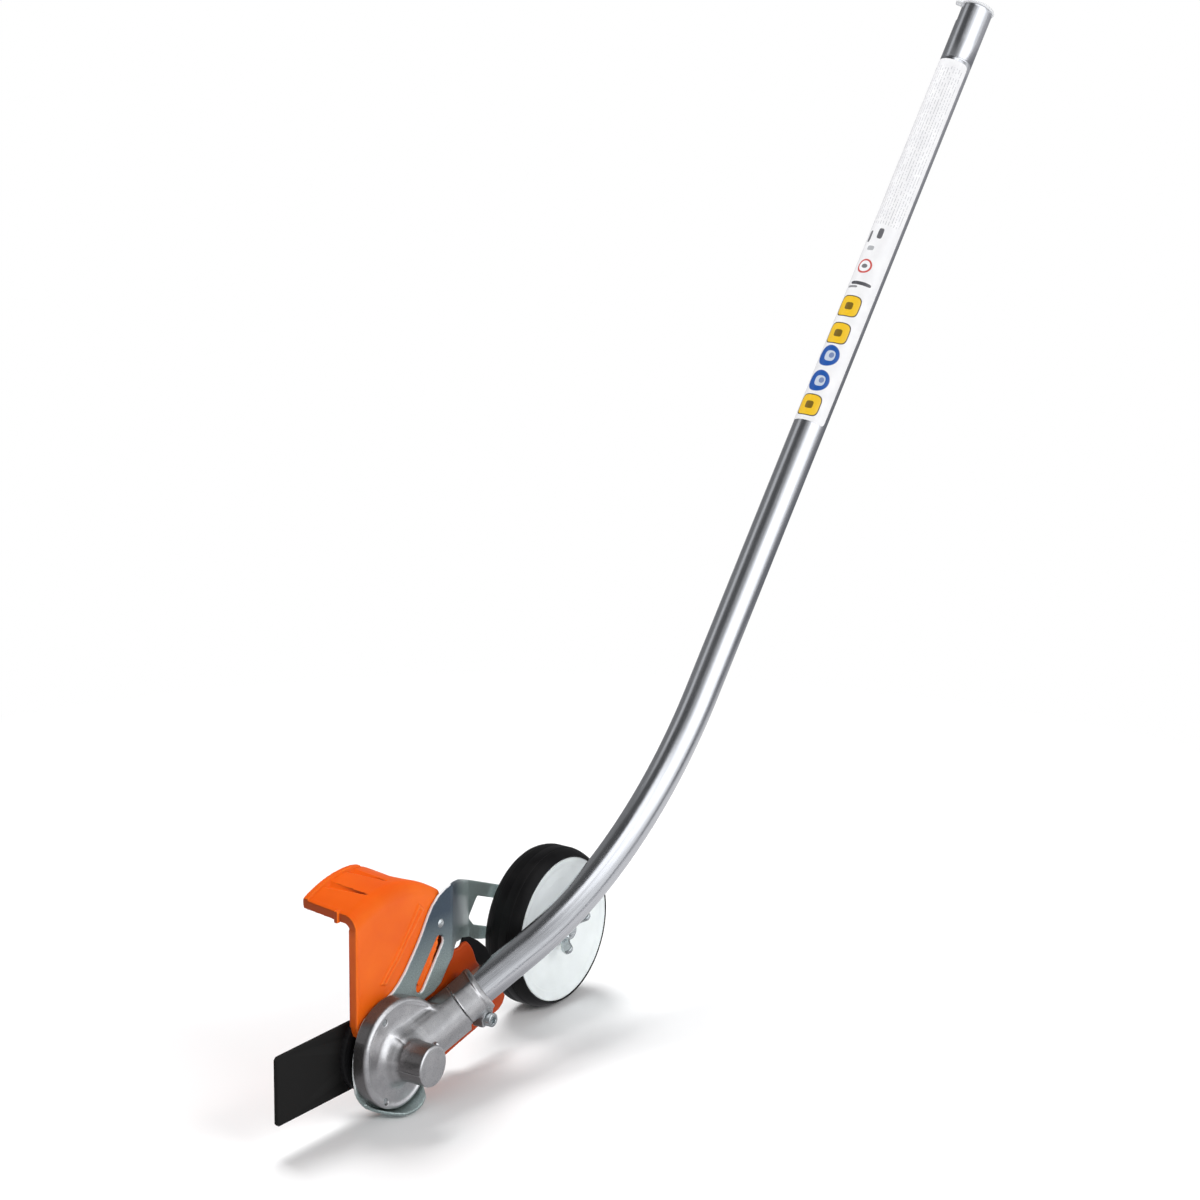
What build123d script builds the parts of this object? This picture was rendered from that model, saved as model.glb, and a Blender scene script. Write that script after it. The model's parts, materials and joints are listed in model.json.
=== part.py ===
"""Curved-shaft edger attachment: an aluminium drive tube that clamps to a
separate power head, a bevel gearbox with a straight steel blade, a plastic
debris deflector, and a skid and wheel bracket with an adjustable wheel.

Row frame, millimetres: origin at the open upper end of the drive tube, on its
axis; +X towards the blade, +Y to the user's left, +Z up. All gearbox, bracket
and wheel sizes are given about the blade axis, which lies at X = AX, Z = AZ.
"""

import os
from math import acos, atan, cos, degrees, pi, radians, sin, sqrt, tan

from build123d import *

os.makedirs("parts", exist_ok=True)

# ----------------------------------------------------------------- dimensions
# drive tube
TUBE_R = 12.7
TUBE_WALL = 1.5
LOW_ANGLE = 11.02          # lower straight, degrees above horizontal
UP_ANGLE = 50.53           # upper straight, degrees above horizontal
LOW_LEN = 155.9            # blade axis to start of bend
BEND_R = 396.5
UP_LEN = 604.9
TUBE_SEAT = 52.0           # lower end of the tube inside the gearbox neck
GRIP_LEN = 48.5            # upper length clamped by a coupler
GROOVE_W, GROOVE_D = 1.0, 0.3
KEYWAY_W, KEYWAY_L = 9.0, 15.0
KEYWAY_ANGLE = -62.0       # about the tube, from its upper front side

# flexible drive
LINER_RO, LINER_RI = 6.0, 3.7
CORE_R = 3.0

# gearbox
NECK_R = 17.5
NECK_END = 101.0
LIP_R = 18.7
BOSS_R = 15.1
BOSS_END = 33.3
DOME_R = 19.0
DISC_R = 44.0
DISC_BACK = -10.0
BRG_R = 11.0               # 8 x 22 x 7 ball bearings
BRG_W = 7.0
CLAMP_S = 92.5
CLAMP_DROP = 18.4

# bevel gears, shafts at 90 degrees
MODULE = 1.25
GEAR_T, PINION_T = 16, 12
FACE_W = 4.0

# blade stack
BLADE_FRONT = -26.4
BLADE_T = 2.4
BLADE_W = 50.8
BLADE_L = 203.2
ARBOR_R = 12.7

# bracket
PLATE_T = 2.5
ARM_Y = -60.0
BEND1_X = -80.0
BEND2_X = -166.6
SKID_R = 39.7
SKID_C = -4.0                  # the skid arc is set back and down from the blade axis
SCREW_PCR = 32.5

# deflector
WALL_Y = -12.6
WALL_T = 3.2
WING_Y = -19.0
HOOD_CX, HOOD_CZ = -16.0, 15.0
HOOD_R = 103.0
HOOD_END_Y = -59.0
HOOD_FRONT_X = 28.0

# wheel
WHEEL_X, WHEEL_Z = -240.0, 14.7
TYRE_R = 60.5
RIM_R = 54.5
WHEEL_FACE = -26.0
WHEEL_BACK = -57.0

# -------------------------------------------------------------------- layout
a1, a2 = radians(LOW_ANGLE), radians(UP_ANGLE)
P1 = (-LOW_LEN * cos(a1), LOW_LEN * sin(a1))
P2 = (P1[0] + BEND_R * (sin(a1) - sin(a2)), P1[1] + BEND_R * (cos(a1) - cos(a2)))
P3 = (P2[0] - UP_LEN * cos(a2), P2[1] + UP_LEN * sin(a2))
AX, AZ = -P3[0], -P3[1]
am = (a1 + a2) / 2


def on_low(s):
    return (-s * cos(a1), s * sin(a1))


def on_up(u):
    """A point of the upper straight, u below the tube's end."""
    return (P3[0] + u * cos(a2), P3[1] - u * sin(a2))


def mid_of_bend():
    return (P1[0] + BEND_R * (sin(a1) - sin(am)), P1[1] + BEND_R * (cos(a1) - cos(am)))


def side(y):
    """Plane across the width: local x, y are X, Z about the blade axis, and
    extrusion goes towards -Y."""
    return Plane(origin=(AX, y, AZ), x_dir=(1, 0, 0), z_dir=(0, -1, 0))


def plan(z=0.0):
    """Horizontal plane at height z about the blade axis."""
    return Plane(origin=(AX, 0, AZ + z), x_dir=(1, 0, 0), z_dir=(0, 0, 1))


NECK = Plane(origin=(AX, 0, AZ), x_dir=(0, 1, 0), z_dir=(-cos(a1), 0, sin(a1)))
TOP = Plane(origin=(0, 0, 0), x_dir=(0, 1, 0), z_dir=(-cos(a2), 0, sin(a2)))
BLADE_AXIS = Axis((AX, 0, AZ), (0, 1, 0))
NECK_AXIS = Axis((AX, 0, AZ), (-cos(a1), 0, sin(a1)))
WHEEL_AXIS = Axis((AX + WHEEL_X, 0, AZ + WHEEL_Z), (0, 1, 0))
TOP_AXIS = Axis((0, 0, 0), (-cos(a2), 0, sin(a2)))
HOOD_AXIS = Axis((AX + HOOD_CX, 0, AZ + HOOD_CZ), (0, 1, 0))
WHEEL_PLAN = Plane(origin=(AX + WHEEL_X, 0, AZ + WHEEL_Z), x_dir=(1, 0, 0), z_dir=(0, 0, 1))
# section planes through an axis: local y runs along the axis, local x is radius
NECK_SEC = Plane(origin=(AX, 0, AZ), x_dir=(0, 1, 0), z_dir=(sin(a1), 0, cos(a1)))


def polar(r, deg):
    return (r * cos(radians(deg)), r * sin(radians(deg)))


def finish(part, name):
    part.label = name
    export_step(part, f"parts/{name}.step")


# ================================================================ drive tube
with BuildPart() as drive_tube:
    with BuildLine(side(0)) as tube_path:
        Line(on_low(TUBE_SEAT), P1)
        ThreePointArc(P1, mid_of_bend(), P2)
        Line(P2, P3)
    with BuildSketch(NECK.offset(TUBE_SEAT)):
        Circle(TUBE_R)
        Circle(TUBE_R - TUBE_WALL, mode=Mode.SUBTRACT)
    sweep(path=tube_path.line)
    # keyway open to the upper end
    with BuildSketch(TOP.rotated((0, 0, 0)).offset(-KEYWAY_L - 3)):
        with Locations((16 * sin(radians(KEYWAY_ANGLE)), -16 * cos(radians(KEYWAY_ANGLE)))):
            Rectangle(12, KEYWAY_W, rotation=KEYWAY_ANGLE - 90)
    extrude(amount=KEYWAY_L + 6, mode=Mode.SUBTRACT)
    # insertion-depth groove
    with BuildSketch(TOP.offset(-GRIP_LEN - GROOVE_W)):
        Circle(TUBE_R + 1)
        Circle(TUBE_R - GROOVE_D, mode=Mode.SUBTRACT)
    extrude(amount=GROOVE_W, mode=Mode.SUBTRACT)
finish(drive_tube.part, "drive_tube")

# plastic liner of the flexible drive, on the tube's centreline
LINER_LOW, LINER_UP = 66.0, 46.0
with BuildPart() as shaft_liner:
    with BuildLine(side(0)) as liner_path:
        Line(on_low(LINER_LOW), P1)
        ThreePointArc(P1, mid_of_bend(), P2)
        Line(P2, on_up(LINER_UP))
    with BuildSketch(NECK.offset(LINER_LOW)):
        Circle(LINER_RO)
        Circle(LINER_RI, mode=Mode.SUBTRACT)
    sweep(path=liner_path.line)
finish(shaft_liner.part, "shaft_liner")

# flexible core, wound wire, drawn as one round rod
with BuildPart() as flex_core:
    with BuildLine(side(0)) as core_path:
        Line(on_low(LINER_LOW + 2), P1)
        ThreePointArc(P1, mid_of_bend(), P2)
        Line(P2, on_up(LINER_UP + 2))
    with BuildSketch(NECK.offset(LINER_LOW + 2)):
        Circle(CORE_R)
    sweep(path=core_path.line)
finish(flex_core.part, "flex_core")

# rubber rings that hold the liner in the middle of the tube
with BuildPart() as liner_rings:
    for s in (80.0, 140.0):
        with BuildSketch(NECK.offset(s)):
            Circle(TUBE_R - TUBE_WALL)
            Circle(LINER_RO, mode=Mode.SUBTRACT)
        extrude(amount=12)
    for u in (90.0, 270.0, 430.0, 590.0):
        with BuildSketch(TOP.offset(-u)):
            Circle(TUBE_R - TUBE_WALL)
            Circle(LINER_RO, mode=Mode.SUBTRACT)
        extrude(amount=12)
finish(liner_rings.part, "liner_rings")

# ============================================================== gear housing
FLANGE = [(36.4, 0), (35.9, 9.5), (33.6, 19.5), (27.6, 28.9), (18.0, 35.8), (8.4, 39.6), (-1.5, 41.3), (-12, 40.4), (-22, 37.2), (-31.8, 32.6), (-40.5, 25.5),
          (-45.0, 12.0), (-43.5, -2.0), (-39.8, -11.0), (-36.2, -19.6), (-31.0, -27.2), (-23.4, -34.0), (-14, -38.4), (-4, -39.9), (5, -38.6), (14, -34.8),
          (22, -28.8), (29.2, -21.5), (34.3, -11.5)]
with BuildPart() as gear_housing:
    # flange, flatter at the front and drawn out towards the neck
    with BuildSketch(side(1.4)):
        with BuildLine():
            Spline(*FLANGE, periodic=True)
        make_face()
    extrude(amount=1.4 - DISC_BACK)
    fillet(gear_housing.edges().group_by(Axis.Y)[-1], 2.6)
    with BuildSketch(plan()):
        with BuildLine():
            Polyline((0, 0), (31, 0), (31, 1.4), (26, 1.7), (19, 3.2), (0, 3.2), close=True)
        make_face()
    revolve(axis=BLADE_AXIS)
    # rounded centre and bearing boss, closed at its outer end
    with BuildSketch(plan()):
        with BuildLine():
            Polyline((0, DISC_BACK), (DOME_R, DISC_BACK), (DOME_R, 3.0), (18.4, 5.2),
                     (17.2, 7.4), (BOSS_R + 0.6, 9.0), (BOSS_R, 10.0), (BOSS_R, BOSS_END - 1.6),
                     (BOSS_R - 0.5, BOSS_END - 0.5), (BOSS_R - 1.6, BOSS_END), (0, BOSS_END), close=True)
        make_face()
    revolve(axis=BLADE_AXIS)
    # neck towards the tube
    with BuildSketch(NECK):
        Circle(NECK_R)
    extrude(amount=NECK_END - 6.5)
    with BuildSketch(NECK_SEC):
        with BuildLine():
            Polyline(
                (0, 93.0), (NECK_R, 93.0), (LIP_R - 0.4, 95.2), (LIP_R, 96.4), (LIP_R, 99.6),
                (LIP_R - 0.5, 100.6), (LIP_R - 1.4, NECK_END), (0, NECK_END), close=True)
        make_face()
    revolve(axis=NECK_AXIS)
    # clamp ears under the collar
    with BuildSketch(NECK.offset(84.0)):
        with Locations((-0.5, 17.5)):
            RectangleRounded(25, 15, 4)
    extrude(amount=16.0)
    # casting web along the underside of the neck
    with BuildSketch(side(5.0)):
        with BuildLine():
            Polyline((-36, -16), (-83, -6.5), (-83, 6), (-34, 0), close=True)
        make_face()
    extrude(amount=10)
    # flat rear face around the shaft
    with BuildSketch(side(DISC_BACK)):
        with BuildLine():
            Polyline((30, 40), (-25.5, 40), (-25.5, -40), (30, -40), close=True)
        make_face()
    extrude(amount=12, mode=Mode.SUBTRACT)
    # gear chamber, bearing seats and tube socket
    with BuildSketch(side(20.0)):
        Circle(11.3)
    extrude(amount=31, mode=Mode.SUBTRACT)
    with BuildSketch(side(27.2)):
        Circle(BRG_R)
    extrude(amount=8, mode=Mode.SUBTRACT)
    with BuildSketch(side(29.5)):
        Circle(8)
    extrude(amount=8, mode=Mode.SUBTRACT)
    with BuildSketch(side(-7.0)):
        Circle(17.0)
    extrude(amount=4, mode=Mode.SUBTRACT)
    with BuildSketch(NECK):
        Circle(9.2)
    extrude(amount=28, mode=Mode.SUBTRACT)
    with BuildSketch(NECK.offset(26.5)):
        Circle(BRG_R)
    extrude(amount=25, mode=Mode.SUBTRACT)
    with BuildSketch(NECK.offset(46.1)):
        Circle(12.0)
    extrude(amount=1.2, mode=Mode.SUBTRACT)
    with BuildSketch(NECK.offset(TUBE_SEAT - 2)):
        Circle(TUBE_R + 0.02)
    extrude(amount=60, mode=Mode.SUBTRACT)
    # clamp slits: one along the underside, one across
    with BuildSketch(NECK.offset(75.0)):
        with Locations((0, 22)):
            Rectangle(2.0, 24)
    extrude(amount=30, mode=Mode.SUBTRACT)
    with BuildSketch(NECK.offset(75.0)):
        with Locations((16, 0)):
            Rectangle(40, 60)
    extrude(amount=1.2, mode=Mode.SUBTRACT)
    # clamp screw hole
    with BuildSketch(side(20.0)):
        with Locations((on_low(CLAMP_S)[0] - CLAMP_DROP * sin(a1), on_low(CLAMP_S)[1] - CLAMP_DROP * cos(a1))):
            Circle(3.1)
    extrude(amount=40, mode=Mode.SUBTRACT)
    with BuildSketch(side(20.0)):
        with Locations((on_low(CLAMP_S)[0] - CLAMP_DROP * sin(a1), on_low(CLAMP_S)[1] - CLAMP_DROP * cos(a1))):
            Circle(6.2)
    extrude(amount=9.5, mode=Mode.SUBTRACT)
    # filler hole on the underside of the neck
    with BuildSketch(Plane(origin=(AX + on_low(36.5)[0], 0, AZ + on_low(36.5)[1]), x_dir=(0, 1, 0), z_dir=(-sin(a1), 0, -cos(a1)))):
        Circle(3.05)
    extrude(amount=24, mode=Mode.SUBTRACT)
    with BuildSketch(Plane(origin=(AX + on_low(36.5)[0] - 17.5 * sin(a1), 0, AZ + on_low(36.5)[1] - 17.5 * cos(a1)), x_dir=(0, 1, 0), z_dir=(-sin(a1), 0, -cos(a1)))):
        Circle(6.0)
    extrude(amount=12, mode=Mode.SUBTRACT)
    # bracket screw holes and rear cover screw holes
    with BuildSketch(side(4.0)):
        with Locations(polar(SCREW_PCR, 65.4), polar(SCREW_PCR, -65.4)):
            Circle(2.55)
    extrude(amount=20, mode=Mode.SUBTRACT)
    with BuildSketch(side(-1.4)):
        with Locations(polar(SCREW_PCR, 128), polar(SCREW_PCR, -128)):
            Circle(2.55)
    extrude(amount=10, mode=Mode.SUBTRACT)
    with BuildSketch(side(-2.0)):
        with Locations(polar(20.5, 45), polar(20.5, -45), polar(20.5, 108), polar(20.5, -108)):
            Circle(2.05)
    extrude(amount=10, mode=Mode.SUBTRACT)
finish(gear_housing.part, "gear_housing")

# rear cover: carries the blade-side bearing and the shaft seal
with BuildPart() as rear_cover:
    with BuildSketch(side(DISC_BACK)):
        Circle(24.0)
    extrude(amount=3.0)
    with BuildSketch(side(-12.0)):
        Circle(16.9)
    extrude(amount=6.8)
    with BuildSketch(side(-7.2)):
        Circle(16.95)
    extrude(amount=4.0)
    with BuildSketch(side(-6.0)):
        Circle(14.0)
    extrude(amount=9.8, mode=Mode.SUBTRACT)
    with BuildSketch(side(-15.0)):
        Circle(11.0)
    extrude(amount=6, mode=Mode.SUBTRACT)
    with BuildSketch(side(-8.0)):
        with Locations(polar(20.5, 45), polar(20.5, -45), polar(20.5, 108), polar(20.5, -108)):
            Circle(2.1)
    extrude(amount=8, mode=Mode.SUBTRACT)
finish(rear_cover.part, "rear_cover")

with BuildPart() as cover_screws:
    for ang in (45, -45, 108, -108):
        with BuildSketch(side(-2.6)):
            with Locations(polar(20.5, ang)):
                Circle(2.0)
        extrude(amount=10.4)
        with BuildSketch(side(-13.0)):
            with Locations(polar(20.5, ang)):
                Circle(3.4)
        extrude(amount=2.0)
finish(cover_screws.part, "cover_screws")

with BuildPart() as filler_plug:
    with BuildSketch(Plane(origin=(AX + on_low(36.5)[0] - 12 * sin(a1), 0, AZ + on_low(36.5)[1] - 12 * cos(a1)), x_dir=(0, 1, 0), z_dir=(-sin(a1), 0, -cos(a1)))) as plug_sk:
        Circle(3.0)
    extrude(amount=6.5)
    with BuildSketch(Plane(origin=(AX + on_low(36.5)[0] - 17.55 * sin(a1), 0, AZ + on_low(36.5)[1] - 17.55 * cos(a1)), x_dir=(0, 1, 0), z_dir=(-sin(a1), 0, -cos(a1)))):
        RegularPolygon(5.0, 6)
    extrude(amount=3.2)
finish(filler_plug.part, "filler_plug")

CLAMP_C = (on_low(CLAMP_S)[0] - CLAMP_DROP * sin(a1), on_low(CLAMP_S)[1] - CLAMP_DROP * cos(a1))
with BuildPart() as clamp_screw:
    with BuildSketch(side(15.8)):
        with Locations(CLAMP_C):
            Circle(5.2)
    extrude(amount=5.3)
    with BuildSketch(side(11.0)):
        with Locations(CLAMP_C):
            Circle(3.0)
    extrude(amount=26.0)
    with BuildSketch(side(15.8)):
        with Locations(CLAMP_C):
            RegularPolygon(2.9, 6)
    extrude(amount=3.0, mode=Mode.SUBTRACT)
    chamfer(clamp_screw.edges().filter_by(GeomType.CIRCLE).sort_by(Axis.Y)[-1], 0.6)
finish(clamp_screw.part, "clamp_screw")

# ================================================================== bearings
GROOVE = 0.04


# each bearing: outer ring, balls, inner ring
def outer_ring(axis, sec, r_out, r_land, r_pitch, r_ball, t0, width):
    with BuildPart() as ring:
        with BuildSketch(sec):
            with BuildLine():
                Polyline((r_land, t0), (r_out, t0), (r_out, t0 + width), (r_land, t0 + width), close=True)
            make_face()
            with Locations((r_pitch, t0 + width / 2)):
                Circle(r_ball + GROOVE, mode=Mode.SUBTRACT)
        revolve(axis=axis)
    return ring.part


def inner_ring(axis, sec, r_in, r_land, r_pitch, r_ball, t0, width):
    with BuildPart() as ring:
        with BuildSketch(sec):
            with BuildLine():
                Polyline((r_in, t0), (r_land, t0), (r_land, t0 + width), (r_in, t0 + width), close=True)
            make_face()
            with Locations((r_pitch, t0 + width / 2)):
                Circle(r_ball + GROOVE, mode=Mode.SUBTRACT)
        revolve(axis=axis)
    return ring.part


def ball_row(axis, centre, first, r_ball, count):
    """Balls around an axis; centre is the ring's middle, first a radial vector."""
    with BuildPart() as row:
        for i in range(count):
            v = Vector(*first).rotate(Axis((0, 0, 0), axis.direction), i * 360.0 / count)
            with Locations((centre[0] + v.X, centre[1] + v.Y, centre[2] + v.Z)):
                Sphere(r_ball)
    return row.part


# front bearing 8 x 22 x 7, in the boss
FRONT_T0 = 20.1
front_bearing_outer = outer_ring(BLADE_AXIS, plan(), BRG_R, 9.2, 7.5, 1.95, FRONT_T0, BRG_W)
finish(front_bearing_outer, "front_bearing_outer")
front_bearing_inner = inner_ring(BLADE_AXIS, plan(), 4.0, 5.8, 7.5, 1.95, FRONT_T0, BRG_W)
finish(front_bearing_inner, "front_bearing_inner")
front_bearing_balls = ball_row(BLADE_AXIS, (AX, FRONT_T0 + BRG_W / 2, AZ), (7.5, 0, 0), 1.93, 7)
finish(front_bearing_balls, "front_bearing_balls")

# rear bearing 12 x 28 x 8, in the cover
REAR_T0 = -15.75
rear_bearing_outer = outer_ring(BLADE_AXIS, plan(), 14.0, 11.9, 10.0, 2.35, REAR_T0, 8.0)
finish(rear_bearing_outer, "rear_bearing_outer")
rear_bearing_inner = inner_ring(BLADE_AXIS, plan(), 6.0, 8.1, 10.0, 2.35, REAR_T0, 8.0)
finish(rear_bearing_inner, "rear_bearing_inner")
rear_bearing_balls = ball_row(BLADE_AXIS, (AX, REAR_T0 + 4.0, AZ), (10.0, 0, 0), 2.33, 8)
finish(rear_bearing_balls, "rear_bearing_balls")

# two pinion bearings 8 x 22 x 7, in the neck
PB_A, PB_B = 27.0, 39.0
for tag, t0 in (("a", PB_A), ("b", PB_B)):
    finish(outer_ring(NECK_AXIS, NECK_SEC, BRG_R, 9.2, 7.5, 1.95, t0, BRG_W), f"pinion_bearing_{tag}_outer")
    finish(inner_ring(NECK_AXIS, NECK_SEC, 4.0, 5.8, 7.5, 1.95, t0, BRG_W), f"pinion_bearing_{tag}_inner")
    mid = on_low(t0 + BRG_W / 2)
    finish(ball_row(NECK_AXIS, (AX + mid[0], 0, AZ + mid[1]), (0, 7.5, 0), 1.93, 7), f"pinion_bearing_{tag}_balls")

with BuildPart() as shaft_seal:
    with BuildSketch(side(-16.0)):
        Circle(11.0)
        Circle(6.04, mode=Mode.SUBTRACT)
    extrude(amount=2.6)
finish(shaft_seal.part, "shaft_seal")

# internal retaining ring, open at its lugs
with BuildPart() as bearing_circlip:
    with BuildSketch(NECK.offset(46.15)):
        Circle(11.9)
        Circle(9.6, mode=Mode.SUBTRACT)
        with Locations((0, -12)):
            Rectangle(7, 10, mode=Mode.SUBTRACT)
    extrude(amount=1.1)
finish(bearing_circlip.part, "bearing_circlip")

# ================================================================ bevel gears
gear_pr = MODULE * GEAR_T / 2
pinion_pr = MODULE * PINION_T / 2
cone_out = sqrt(gear_pr**2 + pinion_pr**2)
cone_in = cone_out - FACE_W
gear_cone = atan(gear_pr / pinion_pr)
pinion_cone = atan(pinion_pr / gear_pr)
ADD, DED = 0.75 * MODULE, 1.2 * MODULE
THICK = 0.38 * pi * MODULE


def tooth(cone, spin_axis_dir, radial_dir):
    """One straight bevel tooth: a wedge that runs towards the cone's apex."""
    ax_v, rad_v = Vector(*spin_axis_dir), Vector(*radial_dir)
    gen = ax_v * cos(cone) + rad_v * sin(cone)           # along the pitch line
    up = rad_v * cos(cone) - ax_v * sin(cone)            # out of the gear body
    across = gen.cross(up)
    with BuildPart() as t:
        for dist in (cone_out - 0.3, cone_in + 0.3):
            k = dist / cone_out
            c = Vector(AX, 0, AZ) + gen * dist
            with BuildSketch(Plane(origin=c, x_dir=across, z_dir=gen)):
                sgn = 1 if (Plane(origin=c, x_dir=across, z_dir=gen).y_dir.dot(up) > 0) else -1
                w0, w1 = THICK / 2 + DED * tan(radians(20)), THICK / 2 - ADD * tan(radians(20))
                with BuildLine():
                    Polyline((-w0 * k, -sgn * (DED + 0.25) * k), (w0 * k, -sgn * (DED + 0.25) * k),
                             (w1 * k, sgn * ADD * k), (-w1 * k, sgn * ADD * k), close=True)
                make_face()
        loft()
    return t.part


low_dir = (-cos(a1), 0, sin(a1))
gear_tooth = tooth(gear_cone, (0, 1, 0), low_dir)
pinion_tooth = tooth(pinion_cone, low_dir, (0, 1, 0))


def cone_pt(cone, dist, off):
    """(radius, axial) of a point on the pitch line, moved off it towards the body."""
    return (dist * sin(cone) - off * cos(cone), dist * cos(cone) + off * sin(cone))


with BuildPart() as bevel_gear:
    g_out, g_in = cone_pt(gear_cone, cone_out, DED), cone_pt(gear_cone, cone_in, DED * cone_in / cone_out)
    with BuildSketch(plan()):
        with BuildLine():
            Polyline((4.0, g_in[1] + 0.4), g_in, g_out, (g_out[0], g_out[1] + 1.6), (8.2, 13.6),
                     (6.4, 13.6), (6.4, 20.0), (4.0, 20.0), close=True)
        make_face()
    revolve(axis=BLADE_AXIS)
    for i in range(GEAR_T):
        add(gear_tooth.rotate(BLADE_AXIS, i * 360.0 / GEAR_T))
    with BuildSketch(side(21.0)):
        with Locations((0, 4.2)):
            Rectangle(2.5, 3.2)
    extrude(amount=16, mode=Mode.SUBTRACT)
finish(bevel_gear.part, "bevel_gear")

with BuildPart() as pinion_shaft:
    p_out, p_in = cone_pt(pinion_cone, cone_out, DED), cone_pt(pinion_cone, cone_in, DED * cone_in / cone_out)
    with BuildSketch(NECK_SEC):
        with BuildLine():
            Polyline((0, p_in[1]), p_in, p_out, (p_out[0], p_out[1] + 0.8), (5.6, 14.0), (5.6, 27.0), (4.0, 27.0),
                     (4.0, 46.15), (3.6, 46.15), (3.6, 47.25), (4.0, 47.25), (4.0, 50.0), (0, 50.0), close=True)
        make_face()
    revolve(axis=NECK_AXIS)
    for i in range(PINION_T):
        add(pinion_tooth.rotate(NECK_AXIS, (i + 0.5) * 360.0 / PINION_T))
    # square socket for the flexible core
    with BuildSketch(NECK.offset(32.0)):
        Rectangle(4.6, 4.6)
    extrude(amount=20, mode=Mode.SUBTRACT)
finish(pinion_shaft.part, "pinion_shaft")

with BuildPart() as pinion_spacer:
    with BuildSketch(NECK.offset(PB_A + BRG_W)):
        Circle(5.5)
        Circle(4.0, mode=Mode.SUBTRACT)
    extrude(amount=PB_B - PB_A - BRG_W)
finish(pinion_spacer.part, "pinion_spacer")

with BuildPart() as pinion_circlip:
    with BuildSketch(NECK.offset(46.2)):
        Circle(5.4)
        Circle(3.62, mode=Mode.SUBTRACT)
        with Locations((5, 0)):
            Rectangle(5, 2.6, mode=Mode.SUBTRACT)
    extrude(amount=1.0)
finish(pinion_circlip.part, "pinion_circlip")

# lower end of the flexible core: square tang and crimped ferrule
with BuildPart() as core_tang:
    with BuildSketch(NECK.offset(33.0)):
        Rectangle(4.5, 4.5)
    extrude(amount=25)
    with BuildSketch(NECK.offset(58.0)):
        Circle(3.5)
    extrude(amount=LINER_LOW + 1.5 - 58.0)
finish(core_tang.part, "core_tang")

# =============================================================== output shaft
with BuildPart() as output_shaft:
    with BuildSketch(plan()):
        with BuildLine():
            Polyline((0, 29.0), (3.6, 29.0), (4.0, 28.6), (4.0, 28.1), (3.6, 28.1), (3.6, 27.2), (4.0, 27.2),
                     (4.0, -7.6), (6.0, -7.6), (6.0, -25.0), (5.0, -25.0), (5.0, -43.6), (4.4, -44.2), (0, -44.2), close=True)
        make_face()
    revolve(axis=BLADE_AXIS)
    with BuildSketch(side(19.0)):
        with Locations((0, 3.6)):
            Rectangle(2.5, 2.0)
    extrude(amount=9, mode=Mode.SUBTRACT)
finish(output_shaft.part, "output_shaft")

with BuildPart() as gear_key:
    with BuildSketch(side(18.8)):
        with Locations((0, 4.2)):
            Rectangle(2.46, 3.0)
    extrude(amount=8.6)
finish(gear_key.part, "gear_key")

with BuildPart() as shaft_circlip:
    with BuildSketch(side(28.05)):
        Circle(5.6)
        Circle(3.62, mode=Mode.SUBTRACT)
        with Locations((5, 0)):
            Rectangle(5, 2.6, mode=Mode.SUBTRACT)
    extrude(amount=0.8)
finish(shaft_circlip.part, "shaft_circlip")

# thrust plate behind the blade, dished, with the arbor spigot
with BuildPart() as thrust_plate:
    with BuildSketch(plan()):
        with BuildLine():
            Polyline((6.02, -19.2), (9.0, -19.2), (9.0, -20.4), (26.6, -20.4), (29.6, -22.2), (30.0, -23.2),
                     (30.0, BLADE_FRONT), (ARBOR_R - 0.05, BLADE_FRONT), (ARBOR_R - 0.05, BLADE_FRONT - BLADE_T + 0.3),
                     (5.02, BLADE_FRONT - BLADE_T + 0.3), (5.02, -25.05), (6.02, -25.05), close=True)
        make_face()
    revolve(axis=BLADE_AXIS)
finish(thrust_plate.part, "thrust_plate")

with BuildPart() as blade:
    with BuildSketch(side(BLADE_FRONT)):
        Rectangle(BLADE_L - 3.2, BLADE_W)
        Circle(ARBOR_R, mode=Mode.SUBTRACT)
    extrude(amount=BLADE_T)
    chamfer(blade.edges().filter_by(Axis.Y).group_by(Axis.X)[0] + blade.edges().filter_by(Axis.Y).group_by(Axis.X)[-1], 2.0)
finish(blade.part, "blade")

with BuildPart() as clamp_washer:
    with BuildSketch(plan()):
        with BuildLine():
            Polyline((5.02, -28.8), (22.0, -28.8), (22.0, -30.4), (13.0, -32.6), (5.02, -32.6), close=True)
        make_face()
    revolve(axis=BLADE_AXIS)
finish(clamp_washer.part, "clamp_washer")

with BuildPart() as blade_nut:
    with BuildSketch(side(-32.6)):
        Circle(10.2)
        Circle(5.02, mode=Mode.SUBTRACT)
    extrude(amount=1.4)
    with BuildSketch(side(-34.0)):
        RegularPolygon(8.5, 6, major_radius=False)
        Circle(5.02, mode=Mode.SUBTRACT)
    extrude(amount=6.8)
    chamfer(blade_nut.edges().filter_by(GeomType.LINE).group_by(Axis.Y)[0], 0.5)
finish(blade_nut.part, "blade_nut")

with BuildPart() as nut_insert:
    with BuildSketch(side(-40.8)):
        Circle(7.0)
        Circle(5.02, mode=Mode.SUBTRACT)
    extrude(amount=1.6)
finish(nut_insert.part, "nut_insert")

# ================================================== skid and wheel bracket
PLATE_FRONT = DISC_BACK
S_EDGE = [
    (-80, 101.4), (-72.4, 100.2), (-64.2, 96.9), (-57.4, 92.0), (-53.3, 87.3), (-49.0, 81.2), (-43.8, 73.4),
    (-37, 65.0), (-30.3, 57.6), (-24.9, 51.8), (-18.2, 46.2), (-11.5, 42.0), (-3.6, 39.1), (5.7, 36.9),
    (13.6, 34.6), (20.2, 31.6), (24.1, 28.5),
]
def skid(r, deg):
    return (SKID_C + polar(r, deg)[0], SKID_C + polar(r, deg)[1])


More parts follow.
